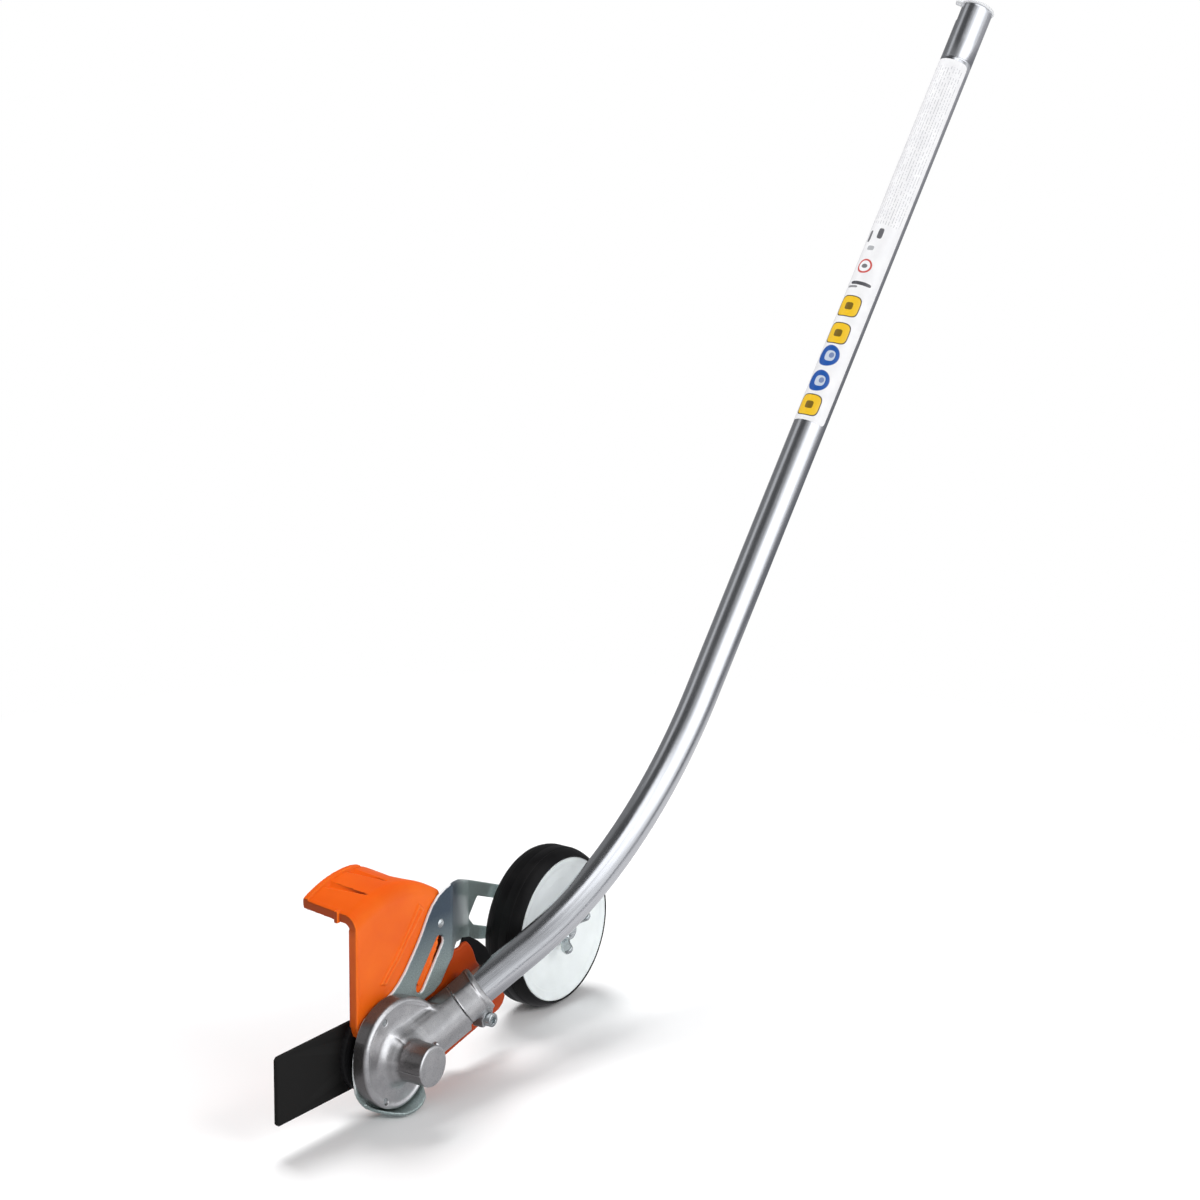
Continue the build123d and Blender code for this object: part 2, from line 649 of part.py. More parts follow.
FRONT_LOW = [(28.0, 22.0), (31.8, 14.0), (34.0, 4.0), (34.4, -6.0), (33.2, -13.5), skid(SKID_R, -25)]
SKID_ARC = [skid(SKID_R, a) for a in range(-33, -158, -8)]
REAR_LOW = [(-47.0, -8.5)]
NOTCH_HALF = 15.4
nx, nz = sin(a1), cos(a1)


def off_neck(s, d):
    p = on_low(s)
    return (p[0] + d * nx, p[1] + d * nz)


NOTCH = [off_neck(48.5, -NOTCH_HALF), off_neck(22.0, -NOTCH_HALF), off_neck(22.0, NOTCH_HALF), off_neck(62.5, NOTCH_HALF)]
REAR_EDGE = [(-66.5, 31.0), (-72, 37.4), (-77.5, 43.6), (-84, 48.0), (-92, 49.8), (-101.5, 48.5), (-122, 41.0), (-166, 22.9),
             (-179.8, 17.9), (-190.3, 15.2), (-205, 9.5), (-219, -1.0), (-225.5, -14.0), (-227.5, -24.0)]
ARM_END = [(-231.5, -33.0), (-240.0, -36.5), (-248.5, -33.0), (-252.5, -24.0), (-254.0, 0.0), (-254.5, 22.0), (-252.0, 31.5), (-244.0, 38.5)]
ARM_TOP = [(-205.7, 52.9), (-165.6, 68.8), (-122.4, 87.2), (-95.0, 96.9)]
OUTLINE = S_EDGE + FRONT_LOW + SKID_ARC + REAR_LOW + NOTCH + REAR_EDGE + ARM_END + ARM_TOP

with BuildPart() as skid_lip:
    with BuildSketch(side(10.0)):
        with BuildLine():
            ThreePointArc(skid(SKID_R, -45), skid(SKID_R, -100), skid(SKID_R, -157))
            Line(skid(SKID_R, -157), skid(SKID_R - PLATE_T, -157))
            ThreePointArc(skid(SKID_R - PLATE_T, -157), skid(SKID_R - PLATE_T, -100), skid(SKID_R - PLATE_T, -45))
            Line(skid(SKID_R - PLATE_T, -45), skid(SKID_R, -45))
        make_face()
    extrude(amount=21.5)
    with BuildSketch(plan(-60)):
        with BuildLine():
            Line((50, -12.5), (26.0, -9.8))
            Spline((26.0, -9.8), (14.0, -6.0), (6.0, 2.0), (-1.0, 7.6), (-10.0, 9.4), (-18.0, 9.6), (-24.5, 7.6), (-29.5, 1.6), (-33.5, -7.0))
            Line((-33.5, -7.0), (-50, -12.5))
            Line((-50, -12.5), (50, -12.5))
        make_face()
    extrude(amount=70, mode=Mode.INTERSECT)

with BuildPart() as bracket_plate:
    # folded strip seen from above
    t15 = PLATE_T * tan(radians(15))
    with BuildSketch(plan(-50)) as fold:
        with BuildLine():
            Polyline((60, PLATE_FRONT), (BEND1_X, PLATE_FRONT), (BEND2_X, ARM_Y), (-262, ARM_Y), (-262, ARM_Y - PLATE_T),
                     (BEND2_X - t15, ARM_Y - PLATE_T), (BEND1_X - t15, PLATE_FRONT - PLATE_T), (60, PLATE_FRONT - PLATE_T), close=True)
        make_face()
        near = lambda x, y: fold.vertices().sort_by_distance((x, y, 0))[0]
        fillet(near(BEND1_X, PLATE_FRONT), 14.5)
        fillet(near(BEND1_X - t15, PLATE_FRONT - PLATE_T), 12)
        fillet(near(BEND2_X, ARM_Y), 8)
        fillet(near(BEND2_X - t15, ARM_Y - PLATE_T), 10.5)
    extrude(amount=160)
    with BuildSketch(side(20)):
        with BuildLine():
            Polyline(*OUTLINE, close=True)
        make_face()
        Circle(25.0, mode=Mode.SUBTRACT)
        with Locations(polar(SCREW_PCR, 65.4), polar(SCREW_PCR, -65.4), polar(SCREW_PCR, 128), polar(SCREW_PCR, -128)):
            Circle(2.75, mode=Mode.SUBTRACT)
        # long slot beside the deflector rib
        with Locations((-53.5, 49.6)):
            SlotCenterToCenter(34.5, 10.0, rotation=degrees(atan((62.5 - 36.5) / (-64.5 + 42.5))), mode=Mode.SUBTRACT)
        # rivet hole
        with Locations((-66.5, 76.2)):
            Circle(2.05, mode=Mode.SUBTRACT)
        # window in the wheel arm
        with BuildLine() as win:
            Polyline((-167.6, 38.7), (-178.5, 52.4), (-211.0, 39.8), (-204.5, 20.0), (-190.9, 24.6), (-174.0, 31.2), close=True)
        make_face(mode=Mode.SUBTRACT)
        # height slot for the wheel bolt
        with Locations((WHEEL_X, 0)):
            SlotCenterToCenter(54.0, 8.5, rotation=90, mode=Mode.SUBTRACT)
    extrude(amount=90, mode=Mode.INTERSECT)
    add(skid_lip.part)
finish(bracket_plate.part, "bracket_plate")

with BuildPart() as bracket_screws:
    for ang, tip in ((65.4, 0.4), (-65.4, 0.4), (128, -2.0), (-128, -2.0)):
        with BuildSketch(side(tip)):
            with Locations(polar(SCREW_PCR, ang)):
                Circle(2.5)
        extrude(amount=tip + 16.4)
        with BuildSketch(side(WALL_Y - WALL_T - 0.02)):
            with Locations(polar(SCREW_PCR, ang)):
                Circle(4.2)
        extrude(amount=3.2)
finish(bracket_screws.part, "bracket_screws")

# ================================================================= deflector
FR = 11.0                      # bend between side wall and hood
HOOD_RISE = 3.2
REAR_ANG = 124.0


def hood_at(r, deg):
    return (HOOD_CX + r * cos(radians(deg)), HOOD_CZ + r * sin(radians(deg)))


def hood_profile(t):
    """Section of the hood, wall thickness t: radius about the hood axis, Y."""
    with BuildLine() as line:
        Line((HOOD_R - FR - 4, WALL_Y), (HOOD_R - FR, WALL_Y))
        RadiusArc((HOOD_R - FR, WALL_Y), (HOOD_R, WALL_Y - FR), FR)
        Line((HOOD_R, WALL_Y - FR), (HOOD_R + HOOD_RISE, HOOD_END_Y))
        Line((HOOD_R + HOOD_RISE, HOOD_END_Y), (HOOD_R + HOOD_RISE - t, HOOD_END_Y))
        Line((HOOD_R + HOOD_RISE - t, HOOD_END_Y), (HOOD_R - t, WALL_Y - FR))
        RadiusArc((HOOD_R - t, WALL_Y - FR), (HOOD_R - FR, WALL_Y - t), -(FR - t))
        Line((HOOD_R - FR, WALL_Y - t), (HOOD_R - FR - 4, WALL_Y - t))
        Line((HOOD_R - FR - 4, WALL_Y - t), (HOOD_R - FR - 4, WALL_Y))
    return line


HOOD_PLANE = Plane(origin=(AX + HOOD_CX, 0, AZ + HOOD_CZ), x_dir=(1, 0, 0), z_dir=(0, 0, 1))

# thickened front rim of the hood
with BuildPart() as hood_rim:
    with BuildSketch(HOOD_PLANE):
        add(hood_profile(5.8).line)
        make_face()
    revolve(axis=HOOD_AXIS, revolution_arc=-80)
    with BuildSketch(side(0)):
        with BuildLine():
            Polyline((24.4, 60), (24.4, 140), (HOOD_FRONT_X, 140), (HOOD_FRONT_X, 60), close=True)
        make_face()
    extrude(amount=70, mode=Mode.INTERSECT)

SLOT_ROT = degrees(atan((62.5 - 36.5) / (-64.5 + 42.5)))
with BuildPart() as deflector:
    # hood over the blade, turned about an axis just behind the blade's
    with BuildSketch(HOOD_PLANE):
        add(hood_profile(WALL_T).line)
        make_face()
    revolve(axis=HOOD_AXIS, revolution_arc=-REAR_ANG)
    with BuildSketch(side(0)):
        with BuildLine():
            Polyline((HOOD_FRONT_X, -140), (HOOD_FRONT_X, 140), (160, 140), (160, -140), close=True)
        make_face()
    extrude(amount=70, mode=Mode.SUBTRACT)
    # two shallow grooves across the hood
    for deg in (77.5, 92.5):
        gx, gz = hood_at(HOOD_R + 2.9, deg)
        with BuildSketch(Plane(origin=(AX + gx, -20, AZ + gz), x_dir=(-sin(radians(deg)), 0, cos(radians(deg))), z_dir=(0, -1, 0))):
            Circle(2.6)
        extrude(amount=35, mode=Mode.SUBTRACT)
    add(hood_rim.part)
    # side wall, carried on round the hub
    with BuildSketch(side(WALL_Y)):
        with BuildLine():
            Polyline((HOOD_FRONT_X, 26.5), (HOOD_FRONT_X, 95.0), *[hood_at(HOOD_R - FR - 2, a) for a in (68, 76, 84, 92, 100, 108, 116, REAR_ANG)],
                     (-71.5, 72.0), (-62.0, 56.0), (-58.5, 44.0), (-50.0, 32.5),
                     off_neck(41.0, NOTCH_HALF + 3), off_neck(24.0, NOTCH_HALF + 3), off_neck(24.0, -NOTCH_HALF - 3), off_neck(44.0, -NOTCH_HALF - 3),
                     (-40.0, -20.0), (-30.0, -30.0), (-18.0, -37.0), (0.0, -41.0), (14.0, -37.0),
                     (20.0, -33.0), (26.0, -22.0), (32.0, -11.5), (34.0, 0.0), (32.5, 10.0), (30.0, 18.0), (27.0, 25.0), close=True)
        make_face()
        Circle(28.2, mode=Mode.SUBTRACT)
        with Locations(polar(SCREW_PCR, 65.4), polar(SCREW_PCR, -65.4), polar(SCREW_PCR, 128), polar(SCREW_PCR, -128)):
            Circle(2.75, mode=Mode.SUBTRACT)
    extrude(amount=WALL_T)
    # rear wing, set back so that it clears the gearbox neck
    with BuildSketch(side(WING_Y)):
        with BuildLine():
            Polyline((-66.0, 68.0), (-74.0, 58.0), (-80.0, 48.0), (-88.0, 46.0), (-95.0, 45.0), (-102.0, 45.0), (-106.0, 46.8), (-110.0, 47.0),
                     (-114.0, 43.0), (-117.1, 38.8), (-121.5, 28.5), (-134.0, 14.0), (-150.0, -1.0), (-156.6, -9.0), (-153.6, -14.6),
                     (-148.6, -17.8), (-143.8, -18.8), (-129.7, -21.8), (-114.0, -25.0), (-98.6, -28.3), (-84.0, -31.8),
                     (-66.0, -35.5), (-48.0, -37.0), (-30.0, -36.0), (-26.0, -33.0), (-38.0, -18.0), (-44.0, -8.0), (-47.0, 8.0), (-46.0, 20.0),
                     (-46.0, 38.0), (-54.5, 50.0), (-61.0, 62.0), close=True)
        make_face()
    extrude(amount=3.0)
    # steps between the wall and the wing, hidden by the bracket
    with BuildSketch(side(WALL_Y - 0.4)):
        with BuildLine():
            Polyline((-71.5, 72.0), (-62.0, 56.0), (-58.5, 44.0), (-50.0, 32.5), (-46.0, 32.5), (-46.0, 38.0), (-54.5, 50.0), (-61.0, 62.0), (-68.0, 73.0), close=True)
        make_face()
    extrude(amount=8.6)
    with BuildSketch(side(WALL_Y - 0.4)):
        with BuildLine():
            Polyline((-40.0, -20.0), (-30.0, -30.0), (-26.0, -32.6), (-33.0, -24.0), (-37.0, -18.0), close=True)
        make_face()
    extrude(amount=8.6)
    # stiffening rim down the front edge
    with BuildSketch(side(WALL_Y - WALL_T + 0.4)):
        with BuildLine():
            Polyline((24.4, 26.5), (24.4, 98.0), (HOOD_FRONT_X, 98.0), (HOOD_FRONT_X, 26.5), close=True)
        make_face()
    extrude(amount=3.6)
    # small stop on the hood's front edge
    with BuildSketch(side(-27.2)):
        with BuildLine():
            Polyline((26.0, 102.5), (26.0, 110.4), (HOOD_FRONT_X + 1.8, 109.8), (HOOD_FRONT_X + 1.8, 101.4), close=True)
        make_face()
    extrude(amount=3.4)
    # rib seen through the bracket slot
    with BuildSketch(side(WALL_Y + 1.6)):
        with Locations((-51.4, 51.2)):
            SlotCenterToCenter(28.0, 4.0, rotation=SLOT_ROT)
    extrude(amount=3.0)
    # raised bead along the side wall
    with BuildSketch(side(WALL_Y + 0.9)):
        with BuildLine():
            Polyline((-47.5, 95.0), (-43.0, 97.5), (-37.5, 90.0), (-19.0, 69.0), (0.0, 51.5), (-4.0, 49.8), (-20.5, 63.5), (-31.0, 74.0), (-41.0, 86.0), close=True)
        make_face()
    extrude(amount=2.0)
    # clearance round the screw heads' wall and the rivets
    with BuildSketch(side(0)):
        with Locations((-66.5, 76.2)):
            Circle(2.05)
    extrude(amount=40, mode=Mode.SUBTRACT)
finish(deflector.part, "deflector")

RIVET = (-66.5, 76.2)
with BuildPart() as deflector_rivet:
    with BuildSketch(side(PLATE_FRONT + 1.4)):
        with Locations(RIVET):
            Circle(3.4)
    extrude(amount=1.4)
    with BuildSketch(side(PLATE_FRONT)):
        with Locations(RIVET):
            Circle(2.0)
    extrude(amount=6.0)
    with BuildSketch(side(WALL_Y - WALL_T)):
        with Locations(RIVET):
            Circle(3.4)
    extrude(amount=1.4)
finish(deflector_rivet.part, "deflector_rivet")

# rubber flap behind the wing
FLAP_RIVETS = [(-112.5, 36.0), (-121.0, 18.0), (-136.0, 0.0)]
with BuildPart() as rubber_flap:
    with BuildSketch(side(WING_Y - 3.0)):
        with BuildLine():
            Polyline((-106.5, 32.0), (-107.0, 44.0), (-110.0, 49.0), (-118.5, 47.2), (-127.9, 41.4), (-137.4, 33.5), (-141.8, 26.6),
                     (-147.0, 14.0), (-151.5, 1.5), (-151.0, -8.0), (-140.0, -10.0), (-128.0, -2.0), (-114.0, 14.0), close=True)
        make_face()
        with Locations(*FLAP_RIVETS):
            Circle(1.6, mode=Mode.SUBTRACT)
    extrude(amount=2.4)
finish(rubber_flap.part, "rubber_flap")

with BuildPart() as flap_rivets:
    with BuildSketch(side(WING_Y - 3.0)):
        with Locations(*FLAP_RIVETS):
            Circle(1.55)
    extrude(amount=2.4)
    with BuildSketch(side(WING_Y - 5.4)):
        with Locations(*FLAP_RIVETS):
            Circle(3.0)
    extrude(amount=1.0)
finish(flap_rivets.part, "flap_rivets")

# ===================================================================== wheel
WC = (WHEEL_X, WHEEL_Z)
with BuildPart() as axle_bolt:
    with BuildSketch(side(ARM_Y - PLATE_T)):
        with Locations(WC):
            Circle(9.0)
    extrude(amount=2.6)
    with BuildSketch(side(ARM_Y - PLATE_T - 2.6)):
        with Locations(WC):
            Circle(6.5)
    extrude(amount=1.8)
    with BuildSketch(side(ARM_Y + 0.2)):
        with Locations(WC):
            Rectangle(8.1, 8.1)
    extrude(amount=2.7)
    with BuildSketch(side(-17.0)):
        with Locations(WC):
            Circle(4.0)
    extrude(amount=45.6)
    chamfer(axle_bolt.edges().filter_by(GeomType.CIRCLE).sort_by(Axis.Y)[-1], 0.8)
finish(axle_bolt.part, "axle_bolt")

with BuildPart() as axle_sleeve:
    with BuildSketch(side(-25.3)):
        with Locations(WC):
            Circle(8.0)
            Circle(4.1, mode=Mode.SUBTRACT)
    extrude(amount=33.1)
finish(axle_sleeve.part, "axle_sleeve")

with BuildPart() as axle_washers:
    with BuildSketch(side(-24.0)):
        with Locations(WC):
            Circle(11.0)
            Circle(4.2, mode=Mode.SUBTRACT)
    extrude(amount=1.3)
    with BuildSketch(side(-58.4)):
        with Locations(WC):
            Circle(12.0)
            Circle(6.0, mode=Mode.SUBTRACT)
    extrude(amount=1.6)
finish(axle_washers.part, "axle_washers")

with BuildPart() as wheel_bush:
    with BuildSketch(side(-25.6)):
        with Locations(WC):
            Circle(11.0)
            Circle(8.05, mode=Mode.SUBTRACT)
    extrude(amount=32.4)
finish(wheel_bush.part, "wheel_bush")

with BuildPart() as wheel_rim:
    with BuildSketch(WHEEL_PLAN):
        with BuildLine():
            Polyline((11.0, -25.7), (15.5, -25.9), (17.0, -27.6), (33.0, -28.4), (49.0, -27.2), (51.0, -26.4), (52.5, -26.0), (RIM_R, -26.3),
                     (RIM_R, -56.6), (51.6, -56.6), (51.2, -32.0), (49.0, -30.2), (33.0, -31.4), (17.0, -30.8),
                     (16.0, -32.0), (15.0, -57.6), (11.0, -57.6), close=True)
        make_face()
    revolve(axis=WHEEL_AXIS)
    # ribs behind the face
    for i in range(6):
        with BuildSketch(side(-31.0)):
            with Locations(Location((WHEEL_X, WHEEL_Z, 0), (0, 0, 1), i * 60.0 + 30)):
                with Locations((33.5, 0)):
                    Rectangle(36.0, 2.4)
        extrude(amount=16)
finish(wheel_rim.part, "wheel_rim")

with BuildPart() as tyre:
    with BuildSketch(WHEEL_PLAN):
        with BuildLine():
            Polyline((RIM_R, -26.9), (55.6, -26.3), (56.6, -27.2), (58.8, -30.6), (60.1, -34.2), (TYRE_R, -37.0), (TYRE_R, -48.0), (60.1, -51.2),
                     (58.6, -54.4), (56.4, WHEEL_BACK + 0.5), (55.4, WHEEL_BACK), (RIM_R, WHEEL_BACK + 0.5), close=True)
        make_face()
    revolve(axis=WHEEL_AXIS)
finish(tyre.part, "tyre")

# wing nut: hub and two flared wings
WING_DEG = -40.0
with BuildPart() as wing_nut:
    with BuildSketch(WHEEL_PLAN):
        with BuildLine():
            Polyline((4.05, -24.0), (7.6, -24.0), (7.0, -21.6), (6.2, -18.5), (4.05, -18.5), close=True)
        make_face()
    revolve(axis=WHEEL_AXIS)
    for deg in (WING_DEG, WING_DEG + 180):
        with BuildSketch(Plane(origin=(AX + WHEEL_X, 0, AZ + WHEEL_Z), x_dir=(cos(radians(deg)), 0, sin(radians(deg))),
                               z_dir=(-sin(radians(deg)), 0, cos(radians(deg))))) as wing_sk:
            with BuildLine():
                s_y = 1 if wing_sk.workplanes[0].y_dir.Y > 0 else -1
                Polyline((4.6, s_y * -23.0), (7.6, s_y * -23.0), (11.5, s_y * -19.5), (15.4, s_y * -16.2), (16.2, s_y * -13.6), (14.6, s_y * -11.8), (11.4, s_y * -12.6),
                         (8.0, s_y * -17.4), (4.6, s_y * -19.2), close=True)
            make_face()
        extrude(amount=1.5, both=True)
finish(wing_nut.part, "wing_nut")

# ================================================================ upper end
with BuildPart() as drive_adapter:
    with BuildSketch(TOP.offset(-44.0)):
        Circle(7.6)
    extrude(amount=36.0)
    with BuildSketch(TOP.offset(-18.0)):
        Circle(9.0)
    extrude(amount=3.0)
    # square sockets for the power head's drive and for the core
    with BuildSketch(TOP.offset(-24.0)):
        Rectangle(6.1, 6.1)
    extrude(amount=20, mode=Mode.SUBTRACT)
    with BuildSketch(TOP.offset(-46.0)):
        Circle(3.2)
    extrude(amount=16, mode=Mode.SUBTRACT)
finish(drive_adapter.part, "drive_adapter")

with BuildPart() as upper_bush:
    with BuildSketch(TOP.offset(-42.0)):
        Circle(TUBE_R - TUBE_WALL)
        Circle(7.65, mode=Mode.SUBTRACT)
    extrude(amount=23.9)
finish(upper_bush.part, "upper_bush")

# white plug that closes the tube for storage
with BuildPart() as end_cap:
    with BuildSketch(TOP.offset(0.05)):
        Circle(13.9)
    extrude(amount=2.6)
    with BuildSketch(TOP.offset(-7.0)):
        Circle(11.1)
        Circle(9.3, mode=Mode.SUBTRACT)
    extrude(amount=7.2)
    fillet(end_cap.edges().filter_by(GeomType.CIRCLE).sort_by(SortBy.RADIUS)[-2:], 0.8)
    # pull tab over the keyway and its tongue inside it
    ka = radians(KEYWAY_ANGLE)
    with BuildSketch(TOP.offset(0.05)):
        with Locations((14.0 * sin(ka), -14.0 * cos(ka))):
            RectangleRounded(8.0, 7.6, 1.6, rotation=KEYWAY_ANGLE - 90)
    extrude(amount=2.2)
    with BuildSketch(TOP.offset(-7.5)):
        with Locations((11.3 * sin(ka), -11.3 * cos(ka))):
            Rectangle(1.6, 7.4, rotation=KEYWAY_ANGLE - 90)
    extrude(amount=8.0)
finish(end_cap.part, "end_cap")

# sticker wrapped round the tube
LABEL_U0, LABEL_U1 = 52.0, 376.0
LABEL_MID, LABEL_SPAN = -22.5, 215.0
with BuildPart() as label:
    with BuildSketch(TOP.offset(-LABEL_U1)):
        Circle(TUBE_R + 0.2)
        Circle(TUBE_R, mode=Mode.SUBTRACT)
        gap_mid = radians(LABEL_MID + 180)
        half = radians((360 - LABEL_SPAN) / 2)
        pts = [(0, 0)]
        for k in (-1, -0.5, 0, 0.5, 1):
            th = gap_mid + k * half
            pts.append((22 * sin(th), -22 * cos(th)))
        with BuildLine():
            Polyline(*pts, close=True)
        make_face(mode=Mode.SUBTRACT)
    extrude(amount=LABEL_U1 - LABEL_U0)
finish(label.part, "label")
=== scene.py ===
import json
import math
import bpy
import numpy as np
from mathutils import Matrix, Vector


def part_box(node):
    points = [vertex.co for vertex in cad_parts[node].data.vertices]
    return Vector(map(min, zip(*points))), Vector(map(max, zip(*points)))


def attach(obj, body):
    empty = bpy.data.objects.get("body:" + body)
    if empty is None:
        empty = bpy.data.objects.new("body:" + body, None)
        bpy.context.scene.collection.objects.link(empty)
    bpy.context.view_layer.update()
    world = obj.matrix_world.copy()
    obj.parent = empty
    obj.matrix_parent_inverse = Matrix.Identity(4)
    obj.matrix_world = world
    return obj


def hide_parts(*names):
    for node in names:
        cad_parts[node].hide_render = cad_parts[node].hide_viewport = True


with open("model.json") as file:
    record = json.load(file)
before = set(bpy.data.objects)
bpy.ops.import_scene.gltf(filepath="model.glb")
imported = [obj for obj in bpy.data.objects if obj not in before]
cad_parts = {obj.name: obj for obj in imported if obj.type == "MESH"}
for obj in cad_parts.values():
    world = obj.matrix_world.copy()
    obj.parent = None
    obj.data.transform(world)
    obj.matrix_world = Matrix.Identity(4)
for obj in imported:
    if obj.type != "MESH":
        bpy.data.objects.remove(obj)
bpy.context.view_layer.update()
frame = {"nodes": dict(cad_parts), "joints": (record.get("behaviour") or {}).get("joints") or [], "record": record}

N = frame["nodes"]
J = {j["name"]: j for j in frame["joints"]}
AX, AZ = J["blade_spin"]["pos_m"][0] * 1000, J["blade_spin"]["pos_m"][2] * 1000
a1, a2 = math.radians(11.02), math.radians(50.53)
C1, S1, C2, S2 = math.cos(a1), math.sin(a1), math.cos(a2), math.sin(a2)
LOW_LEN, BEND_R, UP_LEN = 155.9, 396.5, 604.9
P1 = np.array([-LOW_LEN * C1, LOW_LEN * S1])
ARC = P1 + BEND_R * np.array([S1, C1])
P2 = ARC - BEND_R * np.array([S2, C2])
P3 = P2 + UP_LEN * np.array([-C2, S2])
AXLE = np.array([AX, 0.0, AZ])


def polar(r, deg):
    return (r * math.cos(math.radians(deg)), r * math.sin(math.radians(deg)))


def on_low(s):
    return (-s * C1, s * S1)


# ============================================================== surface tools
# Solids are written as signed distances in millimetres about the blade axis
# and turned into quads by surface nets, then pulled onto the exact surface.
def smin(a, b, k):
    if k <= 0:
        return np.minimum(a, b)
    h = np.clip(0.5 + 0.5 * (b - a) / k, 0, 1)
    return b * (1 - h) + a * h - k * h * (1 - h)


def smax(a, b, k):
    return -smin(-a, -b, k)


def poly(px, pz, pts):
    """Signed distance to a closed polygon."""
    pts = np.asarray(pts, float)
    shape = np.broadcast(px, pz).shape
    d, s = np.full(shape, 1e9), np.ones(shape)
    for i in range(len(pts)):
        a, b = pts[i], pts[i - 1]
        ex, ez = b - a
        if ex == 0 and ez == 0:
            continue
        wx, wz = px - a[0], pz - a[1]
        t = np.clip((wx * ex + wz * ez) / (ex * ex + ez * ez), 0, 1)
        d = np.minimum(d, (wx - ex * t) ** 2 + (wz - ez * t) ** 2)
        c1, c2, c3 = pz >= a[1], pz < b[1], ex * wz > ez * wx
        s = np.where((c1 & c2 & c3) | (~c1 & ~c2 & ~c3), -s, s)
    return s * np.sqrt(d)


def path_dist(px, pz, pts):
    """Distance to an open line of points."""
    d = np.full(np.broadcast(px, pz).shape, 1e9)
    for a, b in zip(pts[:-1], pts[1:]):
        ex, ez = b[0] - a[0], b[1] - a[1]
        wx, wz = px - a[0], pz - a[1]
        t = np.clip((wx * ex + wz * ez) / (ex * ex + ez * ez), 0, 1)
        d = np.minimum(d, (wx - ex * t) ** 2 + (wz - ez * t) ** 2)
    return np.sqrt(d)


def slab(y, lo, hi):
    return np.maximum(lo - y, y - hi)


def nets(f, lo, hi, h, relax=3):
    n = [int(math.ceil((b - a) / h)) + 1 for a, b in zip(lo, hi)]
    ax = [lo[i] + h * np.arange(n[i]) for i in range(3)]
    F = np.broadcast_to(f(ax[0][:, None, None], ax[1][None, :, None], ax[2][None, None, :]), n).astype(np.float32)
    S = F < 0
    c = np.zeros([k - 1 for k in n], np.uint8)
    for i in (0, 1):
        for j in (0, 1):
            for k in (0, 1):
                c += S[i:n[0] - 1 + i, j:n[1] - 1 + j, k:n[2] - 1 + k]
    mixed = (c > 0) & (c < 8)
    ijk = np.argwhere(mixed)
    idx = np.full(mixed.shape, -1, np.int32)
    idx[mixed] = np.arange(len(ijk))
    acc, cnt = np.zeros((len(ijk), 3)), np.zeros(len(ijk))
    for axis in range(3):
        e = np.zeros(3, int)
        e[axis] = 1
        others = [k for k in range(3) if k != axis]
        for p in (0, 1):
            for q in (0, 1):
                o = np.zeros(3, int)
                o[others[0]], o[others[1]] = p, q
                u = ijk + o
                v = u + e
                fa, fb = F[u[:, 0], u[:, 1], u[:, 2]], F[v[:, 0], v[:, 1], v[:, 2]]
                m = (fa < 0) != (fb < 0)
                pos = u[m].astype(float)
                pos[:, axis] += fa[m] / (fa[m] - fb[m])
                acc[m] += pos
                cnt[m] += 1
    P = acc / cnt[:, None] * h + np.array(lo)
    quads = []
    for axis in range(3):
        o1, o2 = (axis + 1) % 3, (axis + 2) % 3
        sa = [slice(1, -1)] * 3
        sb = [slice(1, -1)] * 3
        sa[axis], sb[axis] = slice(0, -1), slice(1, None)
        A, B = S[tuple(sa)], S[tuple(sb)]
        m = A != B
        loc = np.argwhere(m)
        loc[:, o1] += 1
        loc[:, o2] += 1
        inside = A[m]
        corners = []
        for p, q in ((-1, -1), (0, -1), (0, 0), (-1, 0)):
            w = loc.copy()
            w[:, o1] += p
            w[:, o2] += q
            corners.append(idx[w[:, 0], w[:, 1], w[:, 2]])
        quad = np.stack(corners, 1)
        quad[~inside] = quad[~inside][:, ::-1]
        quads.append(quad)
    Q = np.concatenate(quads)
    a, b = Q.ravel(), np.roll(Q, -1, 1).ravel()
    ea, eb = np.concatenate([a, b]), np.concatenate([b, a])
    deg = np.bincount(ea, minlength=len(P)).astype(float)
    eps = h * 0.3

    def newton(P):
        for _ in range(2):
            x, y, z = P[:, 0], P[:, 1], P[:, 2]
            v = f(x, y, z)
            g = np.stack([f(x + eps, y, z) - f(x - eps, y, z), f(x, y + eps, z) - f(x, y - eps, z),
                          f(x, y, z + eps) - f(x, y, z - eps)], 1) / (2 * eps)
            g2 = np.maximum((g * g).sum(1), 0.05)
            step = np.clip(v / g2, -h, h)[:, None] * g
            P = P - step
        return P

    P = newton(P)
    for _ in range(relax):
        mean = np.stack([np.bincount(ea, weights=P[eb, k], minlength=len(P)) for k in range(3)], 1) / deg[:, None]
        P = newton(P * 0.4 + mean * 0.6)
    return P, Q


def mesh_object(name, verts_mm, faces, body, material, replaces=(), axle=True, smooth=True):
    me = bpy.data.meshes.new(name)
    v = (np.asarray(verts_mm, float) + (AXLE if axle else 0)) / 1000.0
    if isinstance(faces, np.ndarray):
        me.vertices.add(len(v))
        me.vertices.foreach_set("co", v.astype(np.float32).ravel())
        k = faces.shape[1]
        me.loops.add(faces.size)
        me.loops.foreach_set("vertex_index", faces.astype(np.int32).ravel())
        me.polygons.add(len(faces))
        me.polygons.foreach_set("loop_start", np.arange(0, faces.size, k, dtype=np.int32))
        me.polygons.foreach_set("loop_total", np.full(len(faces), k, np.int32))
        me.update(calc_edges=True)
        me.validate()
    else:
        me.from_pydata([tuple(p) for p in v], [], [tuple(f) for f in faces])
        me.update()
        me.validate()
    o = bpy.data.objects.new(name, me)
    bpy.context.scene.collection.objects.link(o)
    me.polygons.foreach_set("use_smooth", np.full(len(me.polygons), smooth))
    me.materials.append(material)
    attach(o, body)
    if replaces:
        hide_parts(*replaces)
    return o


